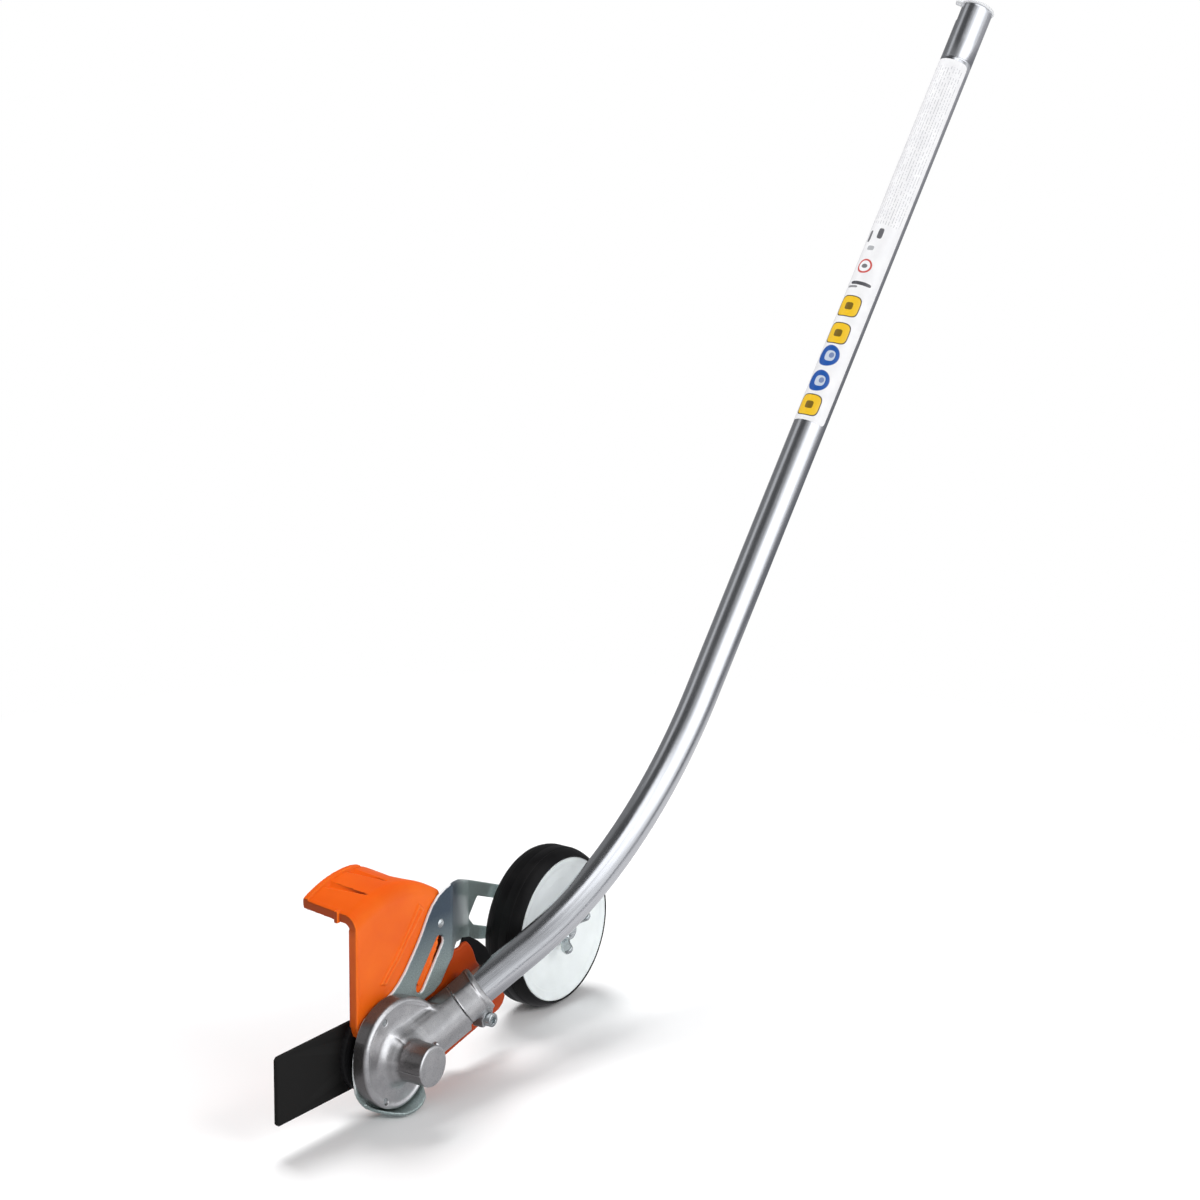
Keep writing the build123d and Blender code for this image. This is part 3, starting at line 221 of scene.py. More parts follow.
def sdf_piece(name, f, lo, hi, h, body, material, replaces=(), relax=3):
    P, Q = nets(f, lo, hi, h, relax)
    return mesh_object(name, P, Q, body, material, replaces)


def lathe(name, profile, centre, body, material, replaces=(), seg=160, sharp=30.0, closed=True):
    """Turns (radius, y) points, mm, about an axis along Y through centre (x, z)."""
    pr = [(max(r, 0.0), y) for r, y in profile]
    verts, faces = [], []
    k = len(pr)
    for i in range(seg):
        t = 2 * math.pi * i / seg
        for r, y in pr:
            verts.append((centre[0] + r * math.cos(t), y, centre[1] + r * math.sin(t)))
    last = k if closed else k - 1
    for i in range(seg):
        ii = (i + 1) % seg
        for j in range(last):
            jj = (j + 1) % k
            faces.append((i * k + j, i * k + jj, ii * k + jj, ii * k + j))
    o = mesh_object(name, verts, faces, body, material, replaces)
    clean(o, sharp)
    return o


def clean(o, sharp=30.0):
    import bmesh
    bm = bmesh.new()
    bm.from_mesh(o.data)
    bmesh.ops.remove_doubles(bm, verts=bm.verts, dist=1e-7)
    bmesh.ops.recalc_face_normals(bm, faces=bm.faces)
    for e in bm.edges:
        e.smooth = len(e.link_faces) == 2 and e.calc_face_angle(0) < math.radians(sharp)
    bm.to_mesh(o.data)
    bm.free()


def rounded(points, radii, steps=4):
    """A polygon with its corners rounded."""
    out, n = [], len(points)
    for i, (p, r) in enumerate(zip(points, radii)):
        if r <= 0:
            out.append(tuple(p))
            continue
        p, a, b = np.array(p, float), np.array(points[i - 1], float), np.array(points[(i + 1) % n], float)
        da, db = (a - p) / np.linalg.norm(a - p), (b - p) / np.linalg.norm(b - p)
        ang = math.acos(max(-1, min(1, float(da @ db))))
        t = min(r / math.tan(ang / 2), 0.45 * np.linalg.norm(a - p), 0.45 * np.linalg.norm(b - p))
        s, e = p + da * t, p + db * t
        for q in range(steps + 1):
            w = q / steps
            out.append(tuple((1 - w) ** 2 * s + 2 * w * (1 - w) * p + w * w * e))
    return out


# ================================================================== materials
def new_mat(name):
    m = bpy.data.materials.new(name)
    m.use_nodes = True
    nt = m.node_tree
    return m, nt, nt.nodes["Principled BSDF"]


def node(nt, kind, **values):
    n = nt.nodes.new(kind)
    for k, v in values.items():
        if hasattr(n, k):
            setattr(n, k, v)
        else:
            n.inputs[k.replace("_", " ")].default_value = v
    return n


def coords(nt, scale=1000.0, stretch=(1, 1, 1), attribute=None):
    """The piece's own coordinates in millimetres."""
    mp = nt.nodes.new("ShaderNodeMapping")
    mp.inputs["Scale"].default_value = [scale * s for s in stretch]
    if attribute:
        src = nt.nodes.new("ShaderNodeAttribute")
        src.attribute_name = attribute
        nt.links.new(src.outputs["Vector"], mp.inputs["Vector"])
    else:
        src = nt.nodes.new("ShaderNodeTexCoord")
        nt.links.new(src.outputs["Object"], mp.inputs["Vector"])
    return mp.outputs["Vector"]


def noise(nt, vec, scale, detail=4.0, rough=0.55, distort=0.0):
    n = nt.nodes.new("ShaderNodeTexNoise")
    n.inputs["Scale"].default_value = scale
    n.inputs["Detail"].default_value = detail
    n.inputs["Roughness"].default_value = rough
    n.inputs["Distortion"].default_value = distort
    nt.links.new(vec, n.inputs["Vector"])
    return n.outputs["Fac"]


def ramp(nt, fac, stops):
    n = nt.nodes.new("ShaderNodeValToRGB")
    el = n.color_ramp.elements
    while len(el) < len(stops):
        el.new(0.5)
    for e, (p, c) in zip(el, stops):
        e.position = p
        e.color = (*c, 1) if len(c) == 3 else c
    nt.links.new(fac, n.inputs["Fac"])
    return n.outputs["Color"]


def grey(v):
    return (v, v, v)


def mathn(nt, op, a, b=None, c=None, clamp=False):
    n = nt.nodes.new("ShaderNodeMath")
    n.operation = op
    n.use_clamp = clamp
    for i, v in enumerate((a, b, c)):
        if v is None:
            continue
        if isinstance(v, (int, float)):
            n.inputs[i].default_value = v
        else:
            nt.links.new(v, n.inputs[i])
    return n.outputs[0]


def mix(nt, fac, a, b, mode="MIX"):
    n = nt.nodes.new("ShaderNodeMix")
    n.data_type = "RGBA"
    n.blend_type = mode
    for s, v in ((n.inputs[0], fac), (n.inputs[6], a), (n.inputs[7], b)):
        if isinstance(v, (int, float)):
            s.default_value = v
        elif isinstance(v, tuple):
            s.default_value = (*v, 1) if len(v) == 3 else v
        else:
            nt.links.new(v, s)
    return n.outputs[2]


def bump(nt, bsdf, height, strength, distance, before=None):
    n = nt.nodes.new("ShaderNodeBump")
    n.inputs["Strength"].default_value = strength
    n.inputs["Distance"].default_value = distance
    nt.links.new(height, n.inputs["Height"])
    if before is not None:
        nt.links.new(before, n.inputs["Normal"])
    nt.links.new(n.outputs["Normal"], bsdf.inputs["Normal"])
    return n.outputs["Normal"]


def edges(nt, lo=0.52, hi=0.60):
    """Bright where the surface is sharply convex."""
    g = nt.nodes.new("ShaderNodeNewGeometry")
    return mathn(nt, "SMOOTH_MIN", mathn(nt, "DIVIDE", mathn(nt, "SUBTRACT", g.outputs["Pointiness"], lo), hi - lo, clamp=True), 1.0, 0.05)


def mat_tube():
    m, nt, b = new_mat("tube_aluminium")
    v = coords(nt, 1000.0, attribute="lay")
    vs = coords(nt, 1000.0, (0.012, 1.0, 1.0), attribute="lay")
    streak = noise(nt, vs, 2.2, 6.0, 0.6)
    fine = noise(nt, coords(nt, 1000.0, (0.03, 1.0, 1.0), attribute="lay"), 9.0, 3.0, 0.6)
    patch = noise(nt, coords(nt, 1000.0, (0.35, 1.0, 1.0), attribute="lay"), 0.16, 3.0, 0.6)
    tone = ramp(nt, streak, [(0.3, (0.66, 0.67, 0.70)), (0.7, (0.83, 0.84, 0.86))])
    nt.links.new(tone, b.inputs["Base Color"])
    b.inputs["Metallic"].default_value = 1.0
    r = mathn(nt, "ADD", mathn(nt, "MULTIPLY", streak, 0.16), mathn(nt, "MULTIPLY", patch, 0.14))
    r = mathn(nt, "ADD", r, 0.075)
    nt.links.new(r, b.inputs["Roughness"])
    h = mathn(nt, "ADD", mathn(nt, "MULTIPLY", streak, 0.7), mathn(nt, "MULTIPLY", fine, 0.3))
    bump(nt, b, h, 0.18, 0.0002)
    return m


def mat_cast():
    m, nt, b = new_mat("cast_aluminium")
    v = coords(nt)
    grain = noise(nt, v, 1.9, 3.0, 0.6)
    cloud = noise(nt, v, 0.09, 4.0, 0.6)
    soft = noise(nt, v, 0.03, 2.0, 0.5)
    tone = ramp(nt, cloud, [(0.30, (0.60, 0.605, 0.62)), (0.55, (0.72, 0.725, 0.735)), (0.75, (0.82, 0.82, 0.825))])
    tone = mix(nt, mathn(nt, "MULTIPLY", soft, 0.25), tone, (0.60, 0.55, 0.53))
    # painted shade: faces turned away from the +Y side are painted dark grey
    geo = nt.nodes.new("ShaderNodeNewGeometry")
    nsep = nt.nodes.new("ShaderNodeSeparateXYZ")
    nt.links.new(geo.outputs["True Normal"], nsep.inputs[0])
    side_shade = mathn(nt, "DIVIDE", mathn(nt, "SUBTRACT", 0.55, nsep.outputs[1]), 0.42, clamp=True)
    tone = mix(nt, mathn(nt, "MULTIPLY", side_shade, 0.80), tone, (0.155, 0.140, 0.138))
    # painted highlight: sharply convex edges and ridges are painted near white
    tone = mix(nt, mathn(nt, "MULTIPLY", edges(nt, 0.515, 0.58), 0.75), tone, (0.95, 0.96, 0.97))
    nt.links.new(tone, b.inputs["Base Color"])
    b.inputs["Metallic"].default_value = 0.92
    r = mathn(nt, "ADD", mathn(nt, "MULTIPLY", grain, 0.14), 0.22)
    nt.links.new(r, b.inputs["Roughness"])
    h = mathn(nt, "ADD", mathn(nt, "MULTIPLY", grain, 0.5), mathn(nt, "MULTIPLY", noise(nt, v, 0.5, 4.0, 0.6), 0.7))
    # a few handling scratches on the boss
    sc = noise(nt, coords(nt, 1000.0, (0.9, 0.10, 0.35)), 1.1, 2.0, 0.4, 0.4)
    mask = ramp(nt, sc, [(0.0, grey(0.0)), (0.73, grey(0.0)), (0.755, grey(1.0)), (1.0, grey(1.0))])
    h = mathn(nt, "SUBTRACT", h, mathn(nt, "MULTIPLY", mask, 0.5))
    bump(nt, b, h, 0.30, 0.00025)
    return m


def mat_zinc():
    """Bright zinc on rolled sheet: even, with a fine speckle and slow drifts of colour."""
    m, nt, b = new_mat("zinc_plate")
    v = coords(nt)
    tc = nt.nodes.new("ShaderNodeTexCoord")
    sep = nt.nodes.new("ShaderNodeSeparateXYZ")
    nt.links.new(tc.outputs["Object"], sep.inputs[0])
    cloud = noise(nt, v, 0.018, 3.0, 0.5, 0.3)
    spangle = noise(nt, v, 1.1, 4.0, 0.65)
    grain = noise(nt, coords(nt, 1000.0, (0.12, 1.0, 1.0)), 1.2, 3.0, 0.6)
    low = mathn(nt, "DIVIDE", mathn(nt, "SUBTRACT", (AZ + 84.0) / 1000, sep.outputs[2]), 0.050, clamp=True)
    arm = mathn(nt, "DIVIDE", mathn(nt, "SUBTRACT", (AX - 96.0) / 1000, sep.outputs[0]), 0.045, clamp=True)
    green = mathn(nt, "MAXIMUM", low, arm)
    tone = mix(nt, green, (0.045, 0.072, 0.105), (0.40, 0.48, 0.465))
    tone = mix(nt, mathn(nt, "MULTIPLY", cloud, 0.22), tone, (0.16, 0.20, 0.235))
    spk = ramp(nt, spangle, [(0.34, grey(0.30)), (0.50, grey(0.5)), (0.64, grey(0.78))])
    tone = mix(nt, 0.70, tone, spk, "OVERLAY")
    # painted highlight: faces turned to the front and up, mostly the sheet's cut edges above the skid, are painted near
    # white and made less metallic
    geo = nt.nodes.new("ShaderNodeNewGeometry")
    dot = nt.nodes.new("ShaderNodeVectorMath")
    dot.operation = "DOT_PRODUCT"
    dot.inputs[1].default_value = (0.86, 0.0, 0.51)
    nt.links.new(geo.outputs["True Normal"], dot.inputs[0])
    cut = mathn(nt, "DIVIDE", mathn(nt, "SUBTRACT", dot.outputs["Value"], 0.40), 0.22, clamp=True)
    cut = mathn(nt, "MULTIPLY", cut, mathn(nt, "DIVIDE", mathn(nt, "SUBTRACT", sep.outputs[2], (AZ - 24.0) / 1000), 0.010, clamp=True))
    tone = mix(nt, mathn(nt, "MULTIPLY", cut, 0.85), tone, (0.95, 0.97, 0.98))
    nt.links.new(tone, b.inputs["Base Color"])
    nt.links.new(mathn(nt, "MULTIPLY", mathn(nt, "SUBTRACT", 1.0, cut), 0.66), b.inputs["Metallic"])
    r = mathn(nt, "ADD", mathn(nt, "MULTIPLY", spangle, 0.20), mathn(nt, "MULTIPLY", cloud, 0.10))
    nt.links.new(mathn(nt, "ADD", r, 0.17), b.inputs["Roughness"])
    h = mathn(nt, "ADD", mathn(nt, "MULTIPLY", spangle, 0.5), mathn(nt, "MULTIPLY", grain, 0.5))
    bump(nt, b, h, 0.12, 0.0003)
    return m


def mat_steel(name, tone, rough, metallic=1.0, grain=3.0, strength=0.12, coat=0.0):
    m, nt, b = new_mat(name)
    v = coords(nt)
    n1 = noise(nt, v, grain, 4.0, 0.6)
    n2 = noise(nt, v, 0.25, 3.0, 0.6)
    lo = tuple(c * 0.82 for c in tone)
    hi = tuple(min(1.0, c * 1.12) for c in tone)
    col = ramp(nt, n2, [(0.35, lo), (0.65, hi)])
    col = mix(nt, mathn(nt, "MULTIPLY", edges(nt, 0.52, 0.62), 0.5), col, tuple(min(1.0, c * 1.35 + 0.05) for c in tone))
    nt.links.new(col, b.inputs["Base Color"])
    b.inputs["Metallic"].default_value = metallic
    nt.links.new(mathn(nt, "ADD", mathn(nt, "MULTIPLY", n1, 0.14), rough - 0.07), b.inputs["Roughness"])
    b.inputs["Coat Weight"].default_value = coat
    if metallic < 0.5:
        b.inputs["Specular IOR Level"].default_value = 0.06
    bump(nt, b, n1, strength, 0.0002)
    return m


def mat_orange():
    m, nt, b = new_mat("orange_plastic")
    v = coords(nt)
    fine = noise(nt, v, 1.6, 3.0, 0.6)
    wave = noise(nt, v, 0.025, 3.0, 0.5)
    mark = noise(nt, coords(nt, 1000.0, (0.08, 0.6, 0.08)), 1.0, 3.0, 0.5, 0.8)
    tone = ramp(nt, wave, [(0.3, (0.80, 0.115, 0.003)), (0.7, (0.88, 0.150, 0.005))])
    # painted highlight: sharply convex edges are painted a lighter orange
    tone = mix(nt, mathn(nt, "MULTIPLY", edges(nt, 0.51, 0.58), 0.45), tone, (0.95, 0.27, 0.04))
    # painted shade: end faces turned to the front are painted dark red, more so near the top
    geo = nt.nodes.new("ShaderNodeNewGeometry")
    nsep = nt.nodes.new("ShaderNodeSeparateXYZ")
    nt.links.new(geo.outputs["True Normal"], nsep.inputs[0])
    tc = nt.nodes.new("ShaderNodeTexCoord")
    psep = nt.nodes.new("ShaderNodeSeparateXYZ")
    nt.links.new(tc.outputs["Object"], psep.inputs[0])

    def st(v, lo, hi):
        return mathn(nt, "DIVIDE", mathn(nt, "SUBTRACT", v, lo), hi - lo, clamp=True)

    end_face_shade = mathn(nt, "MULTIPLY", st(nsep.outputs[0], 0.72, 0.92), mathn(nt, "ADD", 0.45, mathn(nt, "MULTIPLY", st(psep.outputs[2], (AZ + 92) / 1000, (AZ + 104) / 1000), 0.40)))
    tone = mix(nt, end_face_shade, tone, (0.24, 0.035, 0.006))
    # painted shade: upward faces are painted a darker orange
    tone = mix(nt, mathn(nt, "MULTIPLY", st(nsep.outputs[2], 0.45, 0.85), 0.45), tone, (0.72, 0.075, 0.002))
    # painted shade: the wing in the bracket's shade is painted dark red, deepening towards the rear
    wing = mathn(nt, "MULTIPLY", st(psep.outputs[2], (AZ + 80) / 1000, (AZ + 62) / 1000), st(psep.outputs[1], -0.0168, -0.0182))
    shade_deepening = st(psep.outputs[0], (AX - 45) / 1000, (AX - 105) / 1000)
    tone = mix(nt, mathn(nt, "MULTIPLY", wing, mathn(nt, "ADD", 0.45, mathn(nt, "MULTIPLY", shade_deepening, 0.35))), tone, (0.34, 0.030, 0.003))
    # painted reflection: in other parts' reflections the orange is painted a dull brown
    lpn = nt.nodes.new("ShaderNodeLightPath")
    tone = mix(nt, mathn(nt, "MULTIPLY", lpn.outputs["Is Glossy Ray"], 0.8), tone, (0.22, 0.13, 0.09))
    nt.links.new(tone, b.inputs["Base Color"])
    r = mathn(nt, "ADD", mathn(nt, "MULTIPLY", fine, 0.12), 0.33)
    nt.links.new(r, b.inputs["Roughness"])
    b.inputs["Subsurface Weight"].default_value = 0.12
    b.inputs["Subsurface Radius"].default_value = (0.004, 0.0012, 0.0004)
    b.inputs["Subsurface Scale"].default_value = 1.0
    b.inputs["Specular IOR Level"].default_value = 0.22
    h = mathn(nt, "ADD", mathn(nt, "MULTIPLY", fine, 0.5), mathn(nt, "MULTIPLY", noise(nt, v, 0.12, 3.0, 0.5), 0.9))
    bump(nt, b, h, 0.10, 0.0004)
    return m


def mat_rubber(name="tyre_rubber", tone=0.0045, rough=0.46):
    m, nt, b = new_mat(name)
    v = coords(nt)
    fine = noise(nt, v, 2.4, 3.0, 0.6)
    cloud = noise(nt, v, 0.07, 4.0, 0.6)
    col = ramp(nt, cloud, [(0.3, (tone * 0.7, tone * 0.68, tone * 0.75)), (0.7, (tone * 1.6, tone * 1.55, tone * 1.6))])
    nt.links.new(col, b.inputs["Base Color"])
    nt.links.new(mathn(nt, "ADD", mathn(nt, "MULTIPLY", cloud, 0.2), rough - 0.1), b.inputs["Roughness"])
    b.inputs["Specular IOR Level"].default_value = 0.16
    bump(nt, b, mathn(nt, "ADD", mathn(nt, "MULTIPLY", fine, 0.6), mathn(nt, "MULTIPLY", cloud, 0.4)), 0.15, 0.0003)
    return m


def mat_white(name="white_plastic", tone=(0.87, 0.92, 0.925), rough=0.34):
    m, nt, b = new_mat(name)
    v = coords(nt)
    fine = noise(nt, v, 1.4, 3.0, 0.55)
    cloud = noise(nt, v, 0.04, 4.0, 0.6)
    col = ramp(nt, cloud, [(0.3, tuple(c * 0.95 for c in tone)), (0.7, tuple(min(1, c * 1.04) for c in tone))])
    nt.links.new(col, b.inputs["Base Color"])
    nt.links.new(mathn(nt, "ADD", mathn(nt, "MULTIPLY", fine, 0.12), rough - 0.06), b.inputs["Roughness"])
    b.inputs["Subsurface Weight"].default_value = 0.08
    b.inputs["Subsurface Radius"].default_value = (0.002, 0.002, 0.0025)
    bump(nt, b, mathn(nt, "ADD", mathn(nt, "MULTIPLY", fine, 0.4), mathn(nt, "MULTIPLY", cloud, 1.0)), 0.07, 0.0004)
    return m


def mat_blade():
    m, nt, b = new_mat("blade_black")
    v = coords(nt)
    peel = noise(nt, v, 0.35, 3.0, 0.5)
    cloud = noise(nt, v, 0.03, 3.0, 0.6)
    scuff = noise(nt, coords(nt, 1000.0, (0.05, 0.3, 0.55)), 0.55, 4.0, 0.55, 0.7)
    mask = ramp(nt, scuff, [(0.0, grey(0.0)), (0.66, grey(0.0)), (0.74, grey(1.0)), (1.0, grey(1.0))])
    col = mix(nt, mathn(nt, "MULTIPLY", mask, 0.35), (0.0016, 0.0015, 0.0015), (0.022, 0.018, 0.015))
    col = mix(nt, mathn(nt, "MULTIPLY", edges(nt, 0.53, 0.62), 0.35), col, (0.06, 0.06, 0.06))
    nt.links.new(col, b.inputs["Base Color"])
    nt.links.new(mathn(nt, "ADD", mathn(nt, "MULTIPLY", mask, 0.2), mathn(nt, "ADD", mathn(nt, "MULTIPLY", cloud, 0.10), 0.16)), b.inputs["Roughness"])
    b.inputs["Specular IOR Level"].default_value = 0.02
    b.inputs["IOR"].default_value = 1.12
    bump(nt, b, peel, 0.05, 0.0004)
    return m


def mat_label():
    """White film. Plain grey dashes and plain colour patches, no lettering."""
    m, nt, b = new_mat("label_film")
    at = nt.nodes.new("ShaderNodeAttribute")
    at.attribute_name = "lay"
    sep = nt.nodes.new("ShaderNodeSeparateXYZ")
    nt.links.new(at.outputs["Vector"], sep.inputs[0])
    u = mathn(nt, "MULTIPLY", sep.outputs[0], 1000.0)
    w = mathn(nt, "MULTIPLY", sep.outputs[1], 1000.0)

    def band(x, lo, hi, soft=0.15):
        up = mathn(nt, "DIVIDE", mathn(nt, "SUBTRACT", x, lo), soft, clamp=True)
        dn = mathn(nt, "DIVIDE", mathn(nt, "SUBTRACT", hi, x), soft, clamp=True)
        return mathn(nt, "MULTIPLY", up, dn)

    def over(col, mask, paint):
        return mix(nt, mask, col, paint)

    col = ramp(nt, noise(nt, coords(nt, 1000.0, attribute="lay"), 0.1, 2.0, 0.5), [(0.3, (0.80, 0.80, 0.82)), (0.7, (0.86, 0.86, 0.87))])
    # grey dashes in even columns
    col_i = mathn(nt, "FLOOR", mathn(nt, "DIVIDE", w, 2.3))
    line = band(mathn(nt, "MODULO", mathn(nt, "ADD", w, 230.0), 2.3), 0.75, 1.55, 0.25)
    wn = nt.nodes.new("ShaderNodeTexNoise")
    wn.noise_dimensions = "2D"
    wn.inputs["Scale"].default_value = 1.0
    wn.inputs["Detail"].default_value = 1.0
    cv = nt.nodes.new("ShaderNodeCombineXYZ")
    nt.links.new(mathn(nt, "MULTIPLY", u, 0.55), cv.inputs[0])
    nt.links.new(mathn(nt, "MULTIPLY", col_i, 7.31), cv.inputs[1])
    nt.links.new(cv.outputs[0], wn.inputs["Vector"])
    dash = mathn(nt, "GREATER_THAN", wn.outputs["Fac"], 0.46)
    field = mathn(nt, "MULTIPLY", band(u, 58.0, 203.0), band(w, -27.0, 16.5))
    col = over(col, mathn(nt, "MULTIPLY", mathn(nt, "MULTIPLY", line, dash), mathn(nt, "MULTIPLY", field, 0.62)), (0.33, 0.33, 0.36))

    def patch(u0, w0, ru, rw, paint, alpha=1.0, power=4.0):
        nonlocal col
        du = mathn(nt, "POWER", mathn(nt, "ABSOLUTE", mathn(nt, "DIVIDE", mathn(nt, "SUBTRACT", u, u0), ru)), power)
        dw = mathn(nt, "POWER", mathn(nt, "ABSOLUTE", mathn(nt, "DIVIDE", mathn(nt, "SUBTRACT", w, w0), rw)), power)
        d = mathn(nt, "ADD", du, dw)
        mask = mathn(nt, "MULTIPLY", mathn(nt, "DIVIDE", mathn(nt, "SUBTRACT", 1.0, d), 0.12, clamp=True), alpha)
        col = over(col, mask, paint)

    patch(211.0, 2.5, 4.6, 2.2, (0.05, 0.05, 0.06), 0.9)
    patch(214.0, -6.5, 5.2, 1.6, (0.05, 0.05, 0.06), 0.85)
    patch(224.5, -1.0, 2.0, 3.0, (0.30, 0.31, 0.33), 0.8)
    patch(240.5, 0.0, 6.4, 6.4, (0.55, 0.05, 0.04), 1.0, 2.0)
    patch(240.5, 0.0, 4.9, 4.9, (0.86, 0.86, 0.87), 1.0, 2.0)
    patch(240.5, 0.0, 1.9, 2.6, (0.10, 0.10, 0.11), 0.9, 2.0)
    patch(255.5, 2.5, 1.5, 9.0, (0.04, 0.04, 0.05), 0.95)
    patch(258.9, -4.0, 1.0, 5.0, (0.10, 0.10, 0.11), 0.8)
    for u0 in (276.0, 300.0, 363.0):
        patch(u0, 0.0, 9.4, 9.8, (0.03, 0.025, 0.02))
        patch(u0, 0.0, 8.6, 9.0, (0.83, 0.52, 0.02))
        patch(u0, 0.5, 3.2, 3.4, (0.07, 0.045, 0.01), 0.85)
    for u0 in (320.0, 342.0):
        patch(u0, 0.0, 9.4, 9.4, (0.012, 0.085, 0.36), 1.0, 2.0)
        patch(u0, 1.4, 4.6, 4.4, (0.60, 0.66, 0.74), 0.9, 2.6)
        patch(u0 - 0.6, 2.6, 2.4, 2.2, (0.03, 0.09, 0.32), 0.7, 2.0)
    nt.links.new(col, b.inputs["Base Color"])
    b.inputs["Roughness"].default_value = 0.32
    nt.links.new(mathn(nt, "ADD", mathn(nt, "MULTIPLY", noise(nt, coords(nt, 1000.0, attribute="lay"), 1.5, 2.0, 0.5), 0.1), 0.27), b.inputs["Roughness"])
    b.inputs["Coat Weight"].default_value = 0.25
    b.inputs["Coat Roughness"].default_value = 0.15
    bump(nt, b, noise(nt, coords(nt, 1000.0, attribute="lay"), 0.2, 2.0, 0.5), 0.04, 0.0004)
    return m


MAT = {
    "tube_aluminium": mat_tube(),
    "cast_aluminium": mat_cast(),
    "zinc_plate": mat_zinc(),
    "zinc_fastener": mat_steel("zinc_fastener", (0.62, 0.66, 0.67), 0.26, grain=1.6, strength=0.10),
    "machined_steel": mat_steel("machined_steel", (0.50, 0.50, 0.52), 0.28),
    "bearing_steel": mat_steel("bearing_steel", (0.66, 0.67, 0.69), 0.16, strength=0.05),
    "black_steel": mat_steel("black_steel", (0.008, 0.008, 0.009), 0.45, metallic=0.0, strength=0.2, coat=0.0),
    "blade_black": mat_blade(),
    "orange_plastic": mat_orange(),
    "white_plastic": mat_white(),
    "nylon_pale": mat_white("nylon_pale", (0.66, 0.63, 0.56), 0.45),
    "black_rubber": mat_rubber("black_rubber", 0.0035, 0.62),
    "tyre_rubber": mat_rubber(),
    "label_film": mat_label(),
}
for sp in frame["record"]["subparts"]:
    o = N[sp["node"]]
    m = MAT[sp["material_slot"]]
    if o.data.materials:
        for i in range(len(o.data.materials)):
            o.data.materials[i] = m
    else:
        o.data.materials.append(m)

# ================================================================ drive tube
TUBE_R, TUBE_RI = 12.7, 11.2
KEY_MID, KEY_HALF, KEY_LEN = -62.0, 20.8, 15.0
ARC_LEN = BEND_R * (a2 - a1)
TUBE_LEN = UP_LEN + ARC_LEN + LOW_LEN - 52.0


def centre(u):
    """Centre-line point and the angle of the tube above horizontal, u below its top end."""
    if u <= UP_LEN:
        return P3 + u * np.array([C2, -S2]), a2
    if u <= UP_LEN + ARC_LEN:
        a = a2 - (u - UP_LEN) / BEND_R
        return ARC - BEND_R * np.array([math.sin(a), math.cos(a)]), a
    return P1 + (u - UP_LEN - ARC_LEN) * np.array([C1, -S1]), a1


def on_tube(u, th, r):
    c, a = centre(u)
    m = math.cos(math.radians(th)) * r
    return (c[0] + m * math.sin(a), math.sin(math.radians(th)) * r, c[1] + m * math.cos(a))


def add_lay(o, values):
    at = o.data.attributes.new("lay", "FLOAT_VECTOR", "POINT")
    at.data.foreach_set("vector", np.asarray(values, np.float32).ravel())


def build_tube():
    straight = [60, 100, 160, 230, 300, 370, 440, 510, 570, 600]
    bend = [UP_LEN + ARC_LEN * i / 72 for i in range(73)]
    low = [UP_LEN + ARC_LEN + 25, UP_LEN + ARC_LEN + 60, TUBE_LEN - 0.4]
    outer = [(0.35, TUBE_R), (2.0, TUBE_R), (KEY_LEN - 1.2, TUBE_R), (KEY_LEN, TUBE_R), (KEY_LEN + 1.5, TUBE_R), (30, TUBE_R), (48.3, TUBE_R), (48.5, TUBE_R - 0.12),
             (48.6, TUBE_R - 0.3), (49.4, TUBE_R - 0.3), (49.5, TUBE_R - 0.12), (49.7, TUBE_R)]
    outer += [(u, TUBE_R) for u in straight + bend + low]
    inner = [(TUBE_LEN, TUBE_R - 0.4), (TUBE_LEN, TUBE_RI + 0.3), (TUBE_LEN - 0.3, TUBE_RI)]
    inner += [(u, TUBE_RI) for u in low[1::-1] + bend[::-1] + straight[::-1]]
    inner += [(30, TUBE_RI), (KEY_LEN + 1.5, TUBE_RI), (KEY_LEN, TUBE_RI), (KEY_LEN - 1.2, TUBE_RI), (2.0, TUBE_RI), (0.3, TUBE_RI), (0.08, TUBE_RI + 0.12), (0.0, TUBE_RI + 0.35), (0.0, TUBE_R - 0.4), (0.1, TUBE_R - 0.1)]
    prof = outer + inner
    k = len(prof)
    edge0, edge1 = KEY_MID - KEY_HALF, KEY_MID + KEY_HALF
    ths = [edge0 + (edge1 - edge0) * i / 12 for i in range(13)] + [edge1 + (360 - 2 * KEY_HALF) * i / 100 for i in range(1, 100)]
    M = len(ths)
    verts = [on_tube(u, t, r) for t in ths for u, r in prof]
    lay = [(u / 1000, math.radians(((t + 180) % 360) - 180) * r / 1000, r / 1000) for t in ths for u, r in prof]
    cut = {j for j in range(k) if prof[j][0] <= KEY_LEN + 1e-6 and prof[(j + 1) % k][0] <= KEY_LEN + 1e-6}
    faces = []
    for i in range(M):
        ii = (i + 1) % M
        for j in range(k):
            if i < 12 and j in cut:
                continue
            jj = (j + 1) % k
            faces.append((i * k + j, ii * k + j, ii * k + jj, i * k + jj))
    # walls of the notch
    j_out = [j for j in range(len(outer)) if abs(prof[j][0] - KEY_LEN) < 1e-6][0]
    j_in = [j for j in range(len(outer), k) if abs(prof[j][0] - KEY_LEN) < 1e-6][0]
    for i in range(12):
        faces.append((i * k + j_out, i * k + j_in, (i + 1) * k + j_in, (i + 1) * k + j_out))
    ring = [j % k for j in range(j_in, k + j_out + 1)]
    faces.append([0 * k + j for j in ring])
    faces.append([12 * k + j for j in ring][::-1])
    o = mesh_object("tube_skin", verts, faces, "gearhead", MAT["tube_aluminium"], ("drive_tube",))
    add_lay(o, lay)
    clean(o, 40)
    return o


build_tube()


